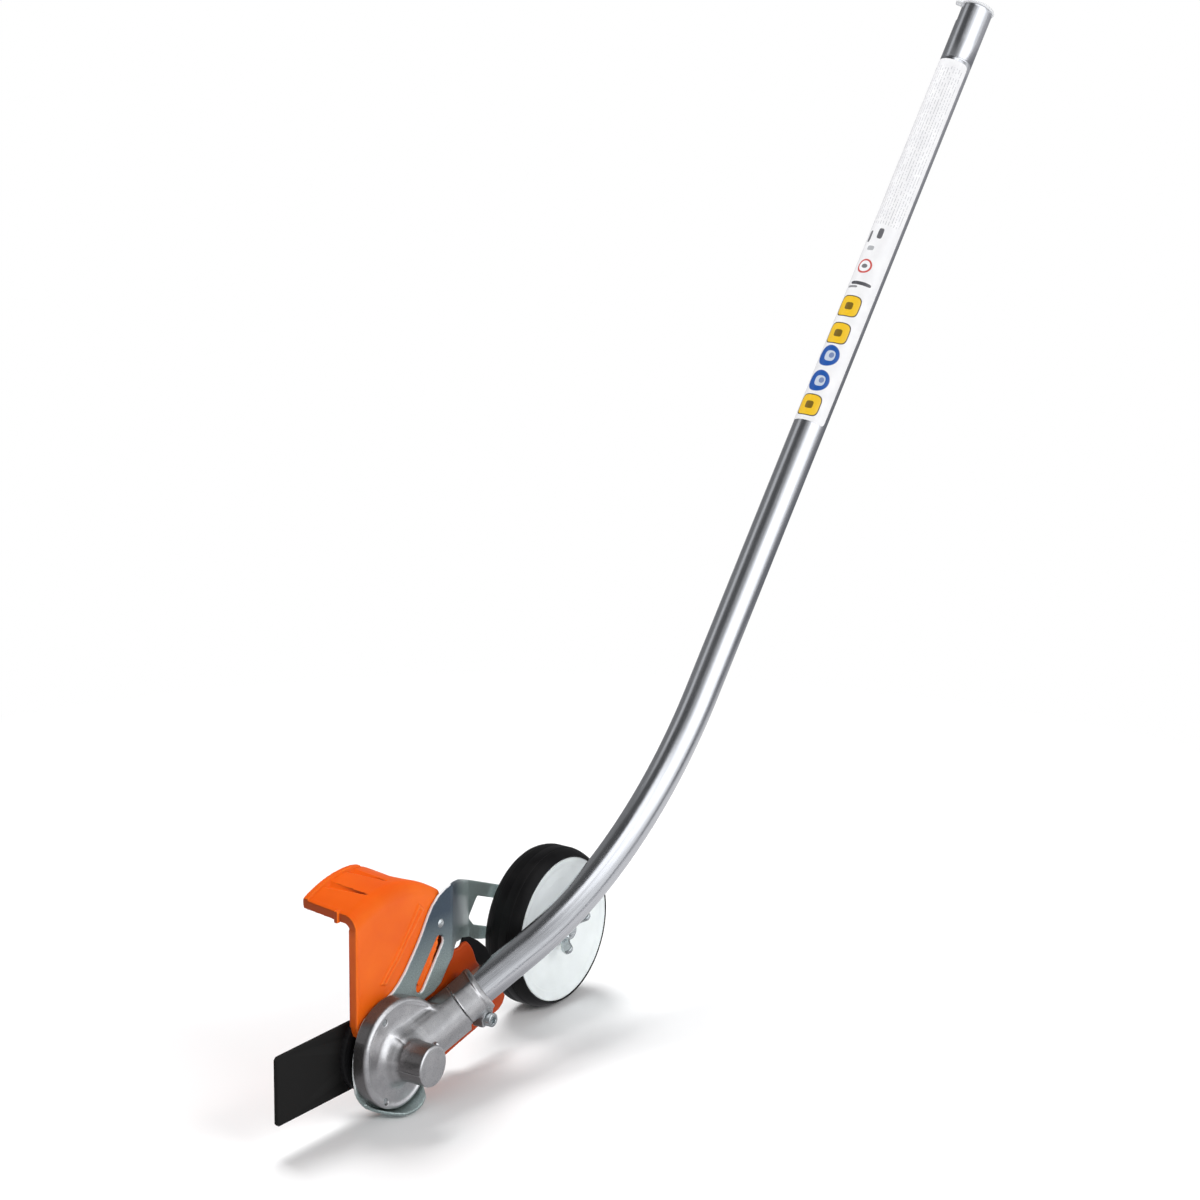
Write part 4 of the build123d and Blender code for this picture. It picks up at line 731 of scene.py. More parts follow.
def build_label():
    u0, u1, mid, half, r = 52.0, 376.0, -22.5, 107.5, 4.0
    rows = [u0, u0 + 0.1] + [u0 + r * (1 - math.cos(math.pi / 2 * i / 6)) for i in range(1, 7)]
    rows = sorted(set(rows + [u0 + r + (u1 - u0 - 2 * r) * i / 24 for i in range(25)] + [u1 - (x - u0) for x in rows]))
    verts, faces, lay = [], [], []
    n = 64
    for rad in (TUBE_R + 0.16, TUBE_R + 0.005):
        for u in rows:
            d = min(u - u0, u1 - u)
            back = 0.0 if d >= r else r - math.sqrt(max(0.0, r * r - (r - d) ** 2))
            h = half - math.degrees(back / TUBE_R)
            for i in range(n + 1):
                t = mid - h + 2 * h * i / n
                verts.append(on_tube(u, t, rad))
                lay.append((u / 1000, math.radians(t) * 12.9 / 1000, rad / 1000))
    R = len(rows)
    q = lambda s, a, i: s * R * (n + 1) + a * (n + 1) + i
    for a in range(R - 1):
        for i in range(n):
            faces.append((q(0, a, i), q(0, a, i + 1), q(0, a + 1, i + 1), q(0, a + 1, i)))
            faces.append((q(1, a, i), q(1, a + 1, i), q(1, a + 1, i + 1), q(1, a, i + 1)))
        for i in (0, n):
            faces.append((q(0, a, i), q(0, a + 1, i), q(1, a + 1, i), q(1, a, i)))
    for a in (0, R - 1):
        for i in range(n):
            faces.append((q(0, a, i), q(0, a, i + 1), q(1, a, i + 1), q(1, a, i)))
    o = mesh_object("label_sleeve", verts, faces, "gearhead", MAT["label_film"], ("label",))
    add_lay(o, lay)
    clean(o, 50)
    return o


build_label()

# =============================================================== gear housing
def smooth_loop(pts, steps=3):
    """A smooth closed curve through the points."""
    pts, out, n = np.asarray(pts, float), [], len(pts)
    for i in range(n):
        p0, p1, p2, p3 = pts[i - 1], pts[i], pts[(i + 1) % n], pts[(i + 2) % n]
        for q in range(steps):
            t = q / steps
            out.append(0.5 * (2 * p1 + (p2 - p0) * t + (2 * p0 - 5 * p1 + 4 * p2 - p3) * t ** 2 + (3 * p1 - p0 - 3 * p2 + p3) * t ** 3))
    return np.array(out)


FLANGE = smooth_loop([(36.4, 0), (35.9, 9.5), (33.6, 19.5), (27.6, 28.9), (18.0, 35.8), (8.4, 39.6), (-1.5, 41.3), (-12, 40.4), (-22, 37.2), (-31.8, 32.6),
                      (-40.5, 25.5), (-45.0, 12.0), (-43.5, -2.0), (-39.8, -11.0), (-36.2, -19.6), (-31.0, -27.2), (-23.4, -34.0), (-14, -38.4), (-4, -39.9),
                      (5, -38.6), (14, -34.8), (22, -28.8), (29.2, -21.5), (34.3, -11.5)])
CLAMP_C = (on_low(92.5)[0] - 18.4 * S1, on_low(92.5)[1] - 18.4 * C1)


def f_housing(x, y, z):
    r = np.sqrt(x * x + z * z)
    s = -x * C1 + z * S1                     # along the neck
    d = x * S1 + z * C1                      # across it, upwards
    rn = np.sqrt(d * d + y * y)
    fl = poly(x, z, FLANGE)
    face = np.interp(-fl, [0.0, 1.2, 2.4, 3.4, 4.6, 6.0, 9.0, 14.0, 20.0, 30.0], [0.9, 1.7, 2.15, 2.1, 1.35, 1.0, 1.05, 1.3, 1.9, 3.2])
    disc = smax(smax(fl, y - face, 2.6), -10 - y, 0.5)
    # neck with a flat along its top, and a collar whose end is cut back on the outer side
    c = 0.62 * d + 0.784 * y
    sp = s + 0.5 * (c + np.sqrt(c * c + 9.0)) - 1.5
    nr = np.interp(s, [20.0, 42.0, 60.0, 75.0, 100.0], [18.2, 17.4, 16.3, 15.7, 15.9])
    neck = rn - nr - 0.3 * np.clip((sp - 76.5) / 0.8, 0, 1)
    neck = smax(neck, 0.983 * d - 0.179 * y - (nr - 1.7), 0.5)
    neck = smax(neck, np.maximum(-2 - s, sp - 101.6), 0.8)
    lip = smax(rn - 16.9, np.abs(sp - 99.4) - 2.6, 1.6)
    neck = smin(neck, smax(lip, s - 100.4, 0.5), 1.2)
    # rounded body in front of the blade axis
    body = np.sqrt(x * x + z * z + (y * 0.94) ** 2) - 18.9
    boss = smax(r - 15.1, y - 33.3 + 0.0022 * r * r, 1.8)
    boss = smax(boss, -9 - y, 0.5)
    core = smin(neck, body, 4.0)
    core = smin(core, boss, 1.7)
    # casting seam on both sides of the boss
    seam = np.maximum(np.abs(d - 0.0) - 0.28, np.maximum(r - 15.45, slab(y, 5, 31.5)))
    core = smin(core, seam, 0.5)
    g = smin(disc, core, 6.5)
    # clamp ears and web under the neck
    ear_y, ear_d = np.abs(y + 0.5) - 12.5, np.abs(d + 16.6) - 6.9
    ear = smax(smax(ear_y, ear_d, 4.5), np.abs(s - 92.5) - 6.2, 2.0)
    g = smin(g, ear, 1.8)
    web = smax(poly(x, z, [(-36, -16), (-83, -6.5), (-83, 6), (-34, 0)]), np.abs(y) - 5.0, 1.2)
    g = smin(g, web, 1.5)
    # small ejector lug beside the boss
    lug = np.sqrt((x + 11.5) ** 2 + ((y - 26.0) * 0.7) ** 2 + (z - 11.2) ** 2) - 2.0
    g = smin(g, lug, 1.0)
    # flat rear face
    g = smax(g, -(np.maximum(np.maximum(y + 10, -22 - y), np.maximum(-25.5 - x, x - 30))), 0.2)
    # bores
    def cut(g, c, k=0.3):
        return smax(g, -c, k)
    g = cut(g, np.maximum(r - 11.3, slab(y, -11.5, 20.0)))
    g = cut(g, np.maximum(r - 11.02, slab(y, 19.2, 27.2)))
    g = cut(g, np.maximum(r - 8.0, slab(y, 21.5, 29.5)))
    g = cut(g, np.maximum(r - 17.02, slab(y, -11.5, -7.0)))
    g = cut(g, np.maximum(rn - 9.2, slab(s, 0, 28)))
    g = cut(g, np.maximum(rn - 11.02, slab(s, 26.5, 51.5)))
    g = cut(g, np.maximum(rn - 12.0, slab(s, 46.1, 47.3)))
    g = cut(g, np.maximum(rn - 12.74, slab(s, 50, 112)), 0.9)
    g = cut(g, np.maximum(np.abs(y) - 1.0, np.maximum(slab(s, 75, 110), slab(d, -34, -10))), 0.4)
    g = cut(g, np.maximum(slab(sp, 75.2, 76.3), np.maximum(-c - 6.0, 13.6 - rn)), 0.3)
    rc = np.sqrt((x - CLAMP_C[0]) ** 2 + (z - CLAMP_C[1]) ** 2)
    g = cut(g, np.maximum(rc - 3.1, slab(y, -20, 20)))
    g = cut(g, np.maximum(rc - 6.2, slab(y, 10.5, 20)), 0.5)
    fx, fz = on_low(36.5)
    rf = np.sqrt((s - 36.5) ** 2 + y * y)
    g = cut(g, np.maximum(rf - 3.05, slab(d, -24, 0)))
    g = cut(g, np.maximum(rf - 6.0, slab(d, -29.5, -17.5)), 0.4)
    for ang, y1 in ((65.4, 6.0), (-65.4, 6.0), (128, -1.4), (-128, -1.4)):
        cx, cz = polar(32.5, ang)
        rs = np.sqrt((x - cx) ** 2 + (z - cz) ** 2)
        g = cut(g, np.maximum(rs - 2.55, slab(y, -16, y1)), 0.5)
    for ang in (45, -45, 108, -108):
        cx, cz = polar(20.5, ang)
        g = cut(g, np.maximum(np.sqrt((x - cx) ** 2 + (z - cz) ** 2) - 2.05, slab(y, -12, -2)))
    return g


sdf_piece("housing_cast", f_housing, (-104, -20, -46), (46, 35, 48), 0.62, "gearhead", MAT["cast_aluminium"], ("gear_housing",))

# ================================================================== bracket
S_EDGE = [(-80, 101.4), (-72.4, 100.2), (-64.2, 96.9), (-57.4, 92.0), (-53.3, 87.3), (-49.0, 81.2), (-43.8, 73.4), (-37, 65.0), (-30.3, 57.6),
          (-24.9, 51.8), (-18.2, 46.2), (-11.5, 42.0), (-3.6, 39.1), (5.7, 36.9), (13.6, 34.6), (20.2, 31.6), (24.1, 28.5)]
SKID_R, SKID_C = 39.7, -4.0


def skid(r, deg):
    return (SKID_C + polar(r, deg)[0], SKID_C + polar(r, deg)[1])


FRONT_LOW = [(28.0, 22.0), (31.8, 14.0), (34.0, 4.0), (34.4, -6.0), (33.2, -13.5), skid(SKID_R, -25)]
SKID = [skid(SKID_R, a) for a in range(-33, -158, -8)]


def off_neck(s, d):
    p = on_low(s)
    return (p[0] + d * S1, p[1] + d * C1)


NOTCH = [off_neck(48.5, -15.4), off_neck(22.0, -15.4), off_neck(22.0, 15.4), off_neck(62.5, 15.4)]
REAR = [(-66.5, 31.0), (-72, 37.4), (-77.5, 43.6), (-84, 48.0), (-92, 49.8), (-101.5, 48.5), (-122, 41.0), (-166, 22.9), (-179.8, 17.9),
        (-190.3, 15.2), (-205, 9.5), (-219, -1.0), (-225.5, -14.0), (-227.5, -24.0)]
ARM = [(-231.5, -33.0), (-240.0, -36.5), (-248.5, -33.0), (-252.5, -24.0), (-254.0, 0.0), (-254.5, 22.0), (-252.0, 31.5), (-244.0, 38.5),
       (-205.7, 52.9), (-165.6, 68.8), (-122.4, 87.2), (-95.0, 96.9)]
PLATE = S_EDGE + FRONT_LOW + SKID + [(-47.0, -8.5)] + NOTCH + REAR + ARM
WINDOW = rounded([(-167.6, 38.7), (-178.5, 52.4), (-211.0, 39.8), (-204.5, 20.0), (-190.9, 24.6), (-174.0, 31.2)], [1.5, 3, 3, 3, 3, 3])
TAN = math.tan(math.radians(30))
MID_FOLD = []


def fold_line():
    """Middle of the folded sheet, seen from above, with its bends."""
    t15 = 1.25 * math.tan(math.radians(15))
    p = [(70.0, -11.25), (-80.0 - t15, -11.25), (-166.6 - t15, -61.25), (-275.0, -61.25)]
    out = [p[0]]
    for i, r in ((1, 13.2), (2, 9.3)):
        a, c, b = np.array(p[i - 1]), np.array(p[i]), np.array(p[i + 1])
        da, db = (a - c) / np.linalg.norm(a - c), (b - c) / np.linalg.norm(b - c)
        ang = math.acos(float(da @ db))
        t = r / math.tan(ang / 2)
        mid = (da + db) / np.linalg.norm(da + db)
        o = c + mid * r / math.sin(ang / 2)
        s, e = c + da * t - o, c + db * t - o
        w0, w1 = math.atan2(s[1], s[0]), math.atan2(e[1], e[0])
        dw = (w1 - w0 + math.pi) % (2 * math.pi) - math.pi
        out += [tuple(o + r * np.array([math.cos(w0 + dw * q / 10), math.sin(w0 + dw * q / 10)])) for q in range(11)]
    out.append(p[3])
    return out


FOLD = fold_line()


def f_bracket(x, y, z):
    sheet = path_dist(x, y, FOLD) - 1.25
    out = poly(x, z, PLATE)
    out = smax(out, -(np.sqrt(x * x + z * z) - 25.0), 0.3)
    for a in (65.4, -65.4, 128, -128):
        cx, cz = polar(32.5, a)
        out = smax(out, -(np.sqrt((x - cx) ** 2 + (z - cz) ** 2) - 2.75), 0.3)
    # long slot
    ang = math.atan2(36.5 - 62.5, -42.5 + 64.5)
    ux, uz = math.cos(ang), math.sin(ang)
    tx = (x + 53.5) * ux + (z - 49.6) * uz
    tz = -(x + 53.5) * uz + (z - 49.6) * ux
    slot = np.sqrt(np.maximum(np.abs(tx) - 17.25, 0) ** 2 + tz ** 2) - 5.0
    out = smax(out, -slot, 0.3)
    out = smax(out, -(np.sqrt((x + 66.5) ** 2 + (z - 76.2) ** 2) - 2.05), 0.3)
    out = smax(out, -poly(x, z, WINDOW), 0.3)
    hs = np.sqrt((x + 240.0) ** 2 + np.maximum(np.abs(z) - 27.0, 0) ** 2) - 4.25
    out = smax(out, -hs, 0.3)
    g = smax(sheet, out, 0.9)
    # skid lip under the gearbox
    r = np.sqrt((x - SKID_C) ** 2 + (z - SKID_C) ** 2)
    free = np.interp(x, [-50, -33.5, -29.5, -24.5, -18.0, -10.0, -1.0, 6.0, 14.0, 26.0, 50.0], [-12.5, -7.0, 1.6, 7.6, 9.6, 9.4, 7.6, 2.0, -6.0, -9.8, -12.5])
    lip = smax(np.abs(r - SKID_R + 1.25) - 1.25, np.maximum(y - free, -11.5 - y), 0.9)
    lip = smax(lip, (z - SKID_C) * math.cos(math.radians(45)) + (x - SKID_C) * math.sin(math.radians(45)), 0.6)
    lip = smax(lip, (z - SKID_C) * math.cos(math.radians(23)) - (x - SKID_C) * math.sin(math.radians(23)), 0.6)
    return smax(smin(g, lip, 1.2), np.where(z < -30, r - SKID_R, -5.0), 0.2)


sdf_piece("bracket_sheet", f_bracket, (-257, -64.5, -49), (50, 11, 104), 0.72, "gearhead", MAT["zinc_plate"], ("bracket_plate",))

# ================================================================ deflector
HCX, HCZ, HR, HEND, FRONT_X = -16.0, 15.0, 103.0, -59.0, 28.0
WY, WT, RISE, FRD = -12.6, 3.2, 3.2, 11.0


def hood_mid(t):
    """Middle line of hood and wall in (radius about the hood axis, y)."""
    c = (HR - FRD, WY - FRD)
    arc = [(c[0] + (FRD - t / 2) * math.cos(math.radians(w)), c[1] + (FRD - t / 2) * math.sin(math.radians(w))) for w in range(90, -1, -9)]
    return [(-30.0, WY - t / 2)] + arc + [(HR + RISE - t / 2, HEND)]


HOOD_MID = hood_mid(WT)
def hood_at(r, deg):
    return (HCX + r * math.cos(math.radians(deg)), HCZ + r * math.sin(math.radians(deg)))


WALL = ([(FRONT_X, 26.5), (FRONT_X, 150.0), (-76.0, 150.0)] + [hood_at(HR + 14, 124), hood_at(HR - FRD - 6, 124)] +
        [(-71.5, 72.0), (-62.0, 56.0), (-58.5, 44.0), (-50.0, 32.5), off_neck(41.0, 18.4), off_neck(24.0, 18.4), off_neck(24.0, -18.4), off_neck(44.0, -18.4),
         (-40.0, -20.0), (-30.0, -30.0), (-18.0, -37.0), (0.0, -34.0), (10.0, -29.0), (16.0, -24.0), (20.5, -17.0), (23.0, -9.0), (24.0, 0.0),
         (24.2, 10.0), (24.6, 17.0), (27.6, 24.5)])
WING = [(-86.0, 50.0), (-88.0, 46.5), (-95.0, 45.0), (-102.0, 45.0), (-106.0, 46.8), (-110.0, 47.0),
        (-114.0, 43.0), (-117.1, 38.8), (-121.5, 28.5), (-134.0, 14.0), (-150.0, -1.0), (-156.6, -9.0), (-153.6, -14.6), (-148.6, -17.8), (-143.8, -18.8),
        (-129.7, -21.8), (-114.0, -25.0), (-98.6, -28.3), (-84.0, -31.8), (-66.0, -35.5), (-48.0, -37.0), (-30.0, -36.0), (-26.0, -33.0), (-38.0, -18.0),
        (-44.0, -8.0), (-47.0, 8.0), (-46.0, 20.0), (-46.0, 38.0), (-54.5, 50.0), (-61.0, 62.0), (-66.0, 74.0), (-76.0, 72.0), (-84.0, 64.0), (-86.0, 54.0)]


def f_deflector(x, y, z):
    r = np.sqrt((x - HCX) ** 2 + (z - HCZ) ** 2)
    deg = np.degrees(np.arctan2(z - HCZ, x - HCX))
    drop = 8.5 * np.clip((deg - 93.0) / 26.0, 0, 1) ** 1.6 * np.clip((-16.0 - y) / 22.0, 0, 1)
    shell = path_dist(r + drop, y, HOOD_MID) - WT / 2
    shell = smax(shell, HEND - y, 0.9)
    # raised lip along the outer edge
    lip = np.maximum(np.maximum(np.abs(r + drop - (HR + RISE - 0.9)) - 2.1, np.abs(y - (HEND + 2.2)) - 2.0), (deg - 99.0) * 1.7)
    shell = smin(shell, lip, 1.2)
    # shallow grooves over the hood, running across it
    for g0, y0, y1, w0, w1 in ((77.5, -54.5, -21.0, 4.6, 0.6), (92.0, -54.5, -24.0, 4.8, 0.6), (104.0, -46.0, -18.0, 2.6, 0.5)):
        f = np.clip((y - y0) / (y1 - y0), 0, 1)
        half = w0 + (w1 - w0) * f
        dg = (deg - g0 - 2.2 * f) * math.radians(1) * r
        depth = 2.5 * np.clip(1 - np.abs(dg) / half, 0, 1) ** 0.8 * np.clip((y - y0) / 1.6, 0, 1) * np.clip((y1 - y) / 5.0, 0, 1)
        outer = HR + RISE * np.clip((WY - FRD - y) / (WY - FRD - HEND), 0, 1)
        shell = np.where((r > HR - 9) & (y < -18), shell + depth * np.clip((r + drop - outer + 2.5) / 0.9, 0, 1), shell)
    # thick front rim
    rim = path_dist(r, y, hood_mid(5.8)) - 2.9
    rim = smax(rim, np.maximum(24.6 - x, HEND - y), 0.8)
    shell = smin(shell, rim, 0.8)
    # wall outline
    shell = smax(shell, poly(x, z, WALL), 0.8)
    shell = smax(shell, x - FRONT_X, 1.3)
    # openings in the wall
    shell = smax(shell, -(np.sqrt(x * x + z * z) - 28.2), 0.4)
    for a in (65.4, -65.4, 128, -128):
        cx, cz = polar(32.5, a)
        shell = smax(shell, -(np.sqrt((x - cx) ** 2 + (z - cz) ** 2) - 2.75), 0.3)
    # rear wing and the steps up to it
    wing = smax(poly(x, z, WING), np.abs(y + 20.5) - 1.5, 1.0)
    step1 = smax(poly(x, z, [(-71.5, 72.0), (-62.0, 56.0), (-58.5, 44.0), (-50.0, 32.5), (-46.0, 32.5), (-46.0, 38.0), (-54.5, 50.0), (-61.0, 62.0), (-68.0, 73.0)]), slab(y, -21.6, -13.0), 0.5)
    step2 = smax(poly(x, z, [(-40.0, -20.0), (-30.0, -30.0), (-26.0, -32.6), (-33.0, -24.0), (-37.0, -18.0)]), slab(y, -21.6, -13.0), 0.5)
    g = smin(smin(smin(shell, wing, 0.6), step1, 0.4), step2, 0.4)
    # stiffening rim down the front edge of the wall
    post = smax(np.maximum(np.abs(x - 26.2) - 1.8, np.abs(z - 62.3) - 35.8), slab(y, -19.2, -13.2), 0.9)
    g = smin(g, post, 0.8)
    # small stop on the hood's front edge
    stop = smax(np.maximum(np.abs(x - 27.9) - 1.9, np.abs(z - 106.0) - 4.4), np.abs(y + 28.9) - 1.7, 0.8)
    g = smin(g, stop, 0.5)
    # rib seen through the bracket slot
    ang = math.atan2(36.5 - 62.5, -42.5 + 64.5)
    ux, uz = math.cos(ang), math.sin(ang)
    tx, tz = (x + 53.5) * ux + (z - 49.6) * uz, -(x + 53.5) * uz + (z - 49.6) * ux
    rib = smax(np.sqrt(np.maximum(np.abs(tx) - 15.0, 0) ** 2 + (tz - 1.9) ** 2) - 2.7, slab(y, -14.0, -10.9), 0.7)
    rib = smin(rib, smax(np.maximum(np.abs(tx) - 13.0, np.abs(tz + 3.7) - 0.55), slab(y, -19.5, -12.7), 0.3), 0.2)
    g = smin(g, rib, 0.5)
    # raised bead along the wall, two soft lines
    bead = poly(x, z, [(-49.5, 91.5), (-43.5, 97.5), (-37.5, 90.0), (-19.0, 69.0), (1.5, 51.0), (-5.0, 48.4), (-20.5, 62.0), (-31.0, 73.0), (-42.5, 84.5)])
    line = smax(np.abs(bead + 1.2) - 1.1, slab(y, -14.0, -11.45), 0.9)
    g = smin(g, line, 0.8)
    # hole for the rivet
    g = smax(g, -(np.sqrt((x + 66.5) ** 2 + (z - 76.2) ** 2) - 2.05), 0.3)
    return g


sdf_piece("deflector_shell", f_deflector, (-160, -62, -43), (31, -10, 125), 0.75, "gearhead", MAT["orange_plastic"], ("deflector",))

# rubber flap
FLAP = [(-106.5, 32.0), (-107.0, 44.0), (-110.0, 49.0), (-118.5, 47.2), (-127.9, 41.4), (-137.4, 33.5), (-141.8, 26.6), (-147.0, 14.0), (-151.5, 1.5),
        (-151.0, -8.0), (-140.0, -10.0), (-128.0, -2.0), (-114.0, 14.0)]


def f_flap(x, y, z):
    out = poly(x, z, FLAP)
    g = smax(out, slab(y, -24.4, -22.0), 0.8)
    for cx, cz in ((-112.5, 36.0), (-121.0, 18.0), (-136.0, 0.0)):
        g = smax(g, -(np.sqrt((x - cx) ** 2 + (z - cz) ** 2) - 1.6), 0.2)
    return g


sdf_piece("flap_sheet", f_flap, (-155, -26, -13), (-103, -20.5, 52), 0.55, "gearhead", MAT["black_rubber"], ("rubber_flap",))

# ==================================================================== wheel
WC = (-240.0, 14.7)
tyre = [(54.5, -27.0)] + [(55.0, -26.35), (55.7, -26.15), (56.3, -26.5), (56.9, -27.4), (58.0, -29.2), (59.0, -31.0), (59.6, -32.7), (59.95, -34.2),
        (60.1, -34.55), (59.95, -34.9), (60.3, -35.4), (60.5, -37.0), (60.5, -42.3), (60.42, -42.5), (60.5, -42.7), (60.5, -48.0), (60.3, -49.7), (59.95, -50.1),
        (60.1, -50.45), (59.9, -50.9), (59.2, -53.0), (58.2, -54.9), (57.0, -56.2), (56.2, -56.9), (55.4, -57.0), (54.5, -56.5)]
lathe("tyre_ring", tyre, WC, "wheel", MAT["tyre_rubber"], ("tyre",), seg=220, sharp=45)
rim = [(11.0, -25.95), (11.3, -25.7), (15.0, -25.75), (15.6, -26.0), (16.3, -26.9), (17.2, -27.7), (18.5, -28.0), (26.0, -28.4), (33.0, -28.55), (40.0, -28.35),
       (46.2, -27.85), (47.0, -27.55), (47.8, -27.6), (48.6, -27.3), (50.2, -26.6), (51.6, -26.15), (52.8, -26.0), (53.8, -26.05), (54.35, -26.3), (54.5, -26.7),
       (54.5, -56.3), (54.2, -56.6), (51.9, -56.6), (51.6, -56.3), (51.2, -33.0), (50.4, -31.2), (48.5, -30.6), (33.0, -31.4), (20.0, -31.0), (17.2, -31.6), (16.2, -33.2),
       (15.2, -57.3), (14.9, -57.6), (11.3, -57.6), (11.0, -57.3)]


def f_rim(x, y, z):
    dx, dz = x - WC[0], z - WC[1]
    r = np.sqrt(dx * dx + dz * dz)
    g = poly(r, y, rim)
    for i in range(6):
        t = math.radians(i * 60 + 30)
        al, ac = dx * math.cos(t) + dz * math.sin(t), -dx * math.sin(t) + dz * math.cos(t)
        rib = smax(np.maximum(np.abs(ac) - 1.2, np.abs(al - 33.5) - 18.4), slab(y, -47.0, -30.6), 0.7)
        g = smin(g, rib, 1.0)
    return g


sdf_piece("wheel_disc", f_rim, (-297, -59.5, -42.5), (-183, -24, 72), 0.8, "wheel", MAT["white_plastic"], ("wheel_rim",))


def f_wing(x, y, z):
    dx, dz = x - WC[0], z - WC[1]
    r = np.sqrt(dx * dx + dz * dz)
    hub = poly(r, y, [(3, -24.0), (7.7, -24.0), (7.2, -21.6), (6.3, -18.6), (3, -18.6)])
    t = math.radians(-40)
    al, ac = dx * math.cos(t) + dz * math.sin(t), -dx * math.sin(t) + dz * math.cos(t)
    wing = poly(np.abs(al), y, rounded([(3.0, -23.4), (8.0, -23.4), (12.5, -21.5), (17.2, -18.8), (19.2, -14.2), (16.8, -10.6), (12.6, -10.4), (8.6, -15.6), (3.0, -18.6)],
                                       [0, 1, 3, 3, 3, 3, 3, 3, 0]))
    wing = smax(wing, np.abs(ac) - (1.1 + 0.05 * np.abs(al)), 1.4)
    g = smin(hub, wing, 1.8)
    return smax(g, -(r - 4.05), 0.3)


sdf_piece("wing_nut_body", f_wing, (-262, -25, -7), (-218, -9.3, 37), 0.36, "nut", MAT["zinc_fastener"], ("wing_nut",))

# ================================================================== end cap
TA = math.radians(-62.0)


def f_cap(x, y, z):
    # local: w along the tube's axis above its end; p upwards-front, q to +Y
    X, Z = x + AX, z + AZ
    w = -X * C2 + Z * S2
    p = X * S2 + Z * C2
    r = np.sqrt(p * p + y * y)
    cap = smax(r - 13.85, np.abs(w - 1.30) - 1.24, 1.6)
    cap = smin(cap, smax(r - 11.4, np.abs(w - 1.9) - 0.9, 0.8), 0.5)
    plug = smax(np.maximum(r - 11.1, 9.3 - r), slab(w, -7.0, 0.3), 0.6)
    g = smin(cap, plug, 0.5)
    a = p * math.cos(TA) + y * math.sin(TA)
    b = -p * math.sin(TA) + y * math.cos(TA)
    tab = smax(smax(np.abs(a - 14.2) - 3.8, np.abs(b) - 3.7, 1.6), np.abs(w - 1.2) - 1.1, 0.9)
    g = smin(g, tab, 0.9)
    hook = smax(np.maximum(np.abs(a - 11.3) - 0.8, np.abs(b) - 3.6), slab(w, -7.2, 0.6), 0.7)
    g = smin(g, hook, 0.5)
    vent = smax(np.sqrt((p * 1.0 - 1.0) ** 2 * 1.0 + (y - 9.6) ** 2) - 1.7, slab(w, 1.3, 4.0), 0.4)
    return smax(g, -vent, 0.3)


def cap_box():
    lo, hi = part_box("end_cap")
    return ([lo[0] * 1000 - AX - 1, lo[1] * 1000 - 1, lo[2] * 1000 - AZ - 1], [hi[0] * 1000 - AX + 1, hi[1] * 1000 + 1, hi[2] * 1000 - AZ + 1])


lo, hi = cap_box()
sdf_piece("cap_plug", f_cap, lo, hi, 0.4, "cap", mat_white("cap_white", (0.74, 0.75, 0.77), 0.4), ("end_cap",))

# ================================================================= fasteners
lathe("rivet_dome", [(0, -8.75), (1.0, -8.8), (1.9, -9.0), (2.7, -9.35), (3.2, -9.7), (3.4, -10.0), (2.0, -10.0), (2.0, -15.8), (3.4, -15.8), (3.2, -16.5), (2.5, -17.0), (0, -17.2)],
      (-66.5, 76.2), "gearhead", MAT["zinc_fastener"], ("deflector_rivet",), seg=48, sharp=35)


def f_clamp(x, y, z):
    dx, dz = x - CLAMP_C[0], z - CLAMP_C[1]
    r = np.sqrt(dx * dx + dz * dz)
    t = np.arctan2(dz, dx)
    head = smax(r - 5.15, np.abs(y - 13.15) - 2.65, 1.1)
    head = smin(head, smax(r - 5.2, np.abs(y - 10.95) - 0.45, 0.4), 0.3)
    star = r - (2.55 + 0.42 * np.cos(6 * t))
    head = smax(head, -np.maximum(star, 12.4 - y), 0.4)
    pitch = 1.0
    turn = (y / pitch + t / (2 * math.pi)) % 1.0
    shank = r - (2.62 + 0.36 * (1 - np.abs(2 * turn - 1)))
    shank = smax(shank, slab(y, -15.0, 11.2), 0.4)
    return smin(head, shank, 0.5)


sdf_piece("clamp_screw_body", f_clamp, (CLAMP_C[0] - 6.5, -16, CLAMP_C[1] - 6.5), (CLAMP_C[0] + 6.5, 17, CLAMP_C[1] + 6.5), 0.28, "gearhead",
          MAT["zinc_fastener"], ("clamp_screw",), relax=1)

# softened edges on the carried-over metal pieces that show
for name, width in (("blade", 0.35), ("thrust_plate", 0.5), ("clamp_washer", 0.4), ("blade_nut", 0.4), ("axle_bolt", 0.5), ("bracket_screws", 0.3),
                    ("rear_cover", 0.4), ("cover_screws", 0.3), ("filler_plug", 0.3), ("flap_rivets", 0.25), ("axle_washers", 0.2)):
    md = N[name].modifiers.new("edge", "BEVEL")
    md.width = width / 1000
    md.segments = 3
    md.limit_method = "ANGLE"
    md.angle_limit = math.radians(35)
    md.harden_normals = True

# ============================================================ stage and light
ground = (AZ - 46.1) / 1000


def stage_plane(name, size, z):
    me = bpy.data.meshes.new(name)
    s = size / 2
    me.from_pydata([(-s, -s, z), (s, -s, z), (s, s, z), (-s, s, z)], [], [(0, 1, 2, 3)])
    o = bpy.data.objects.new(name, me)
    bpy.context.scene.collection.objects.link(o)
    return o


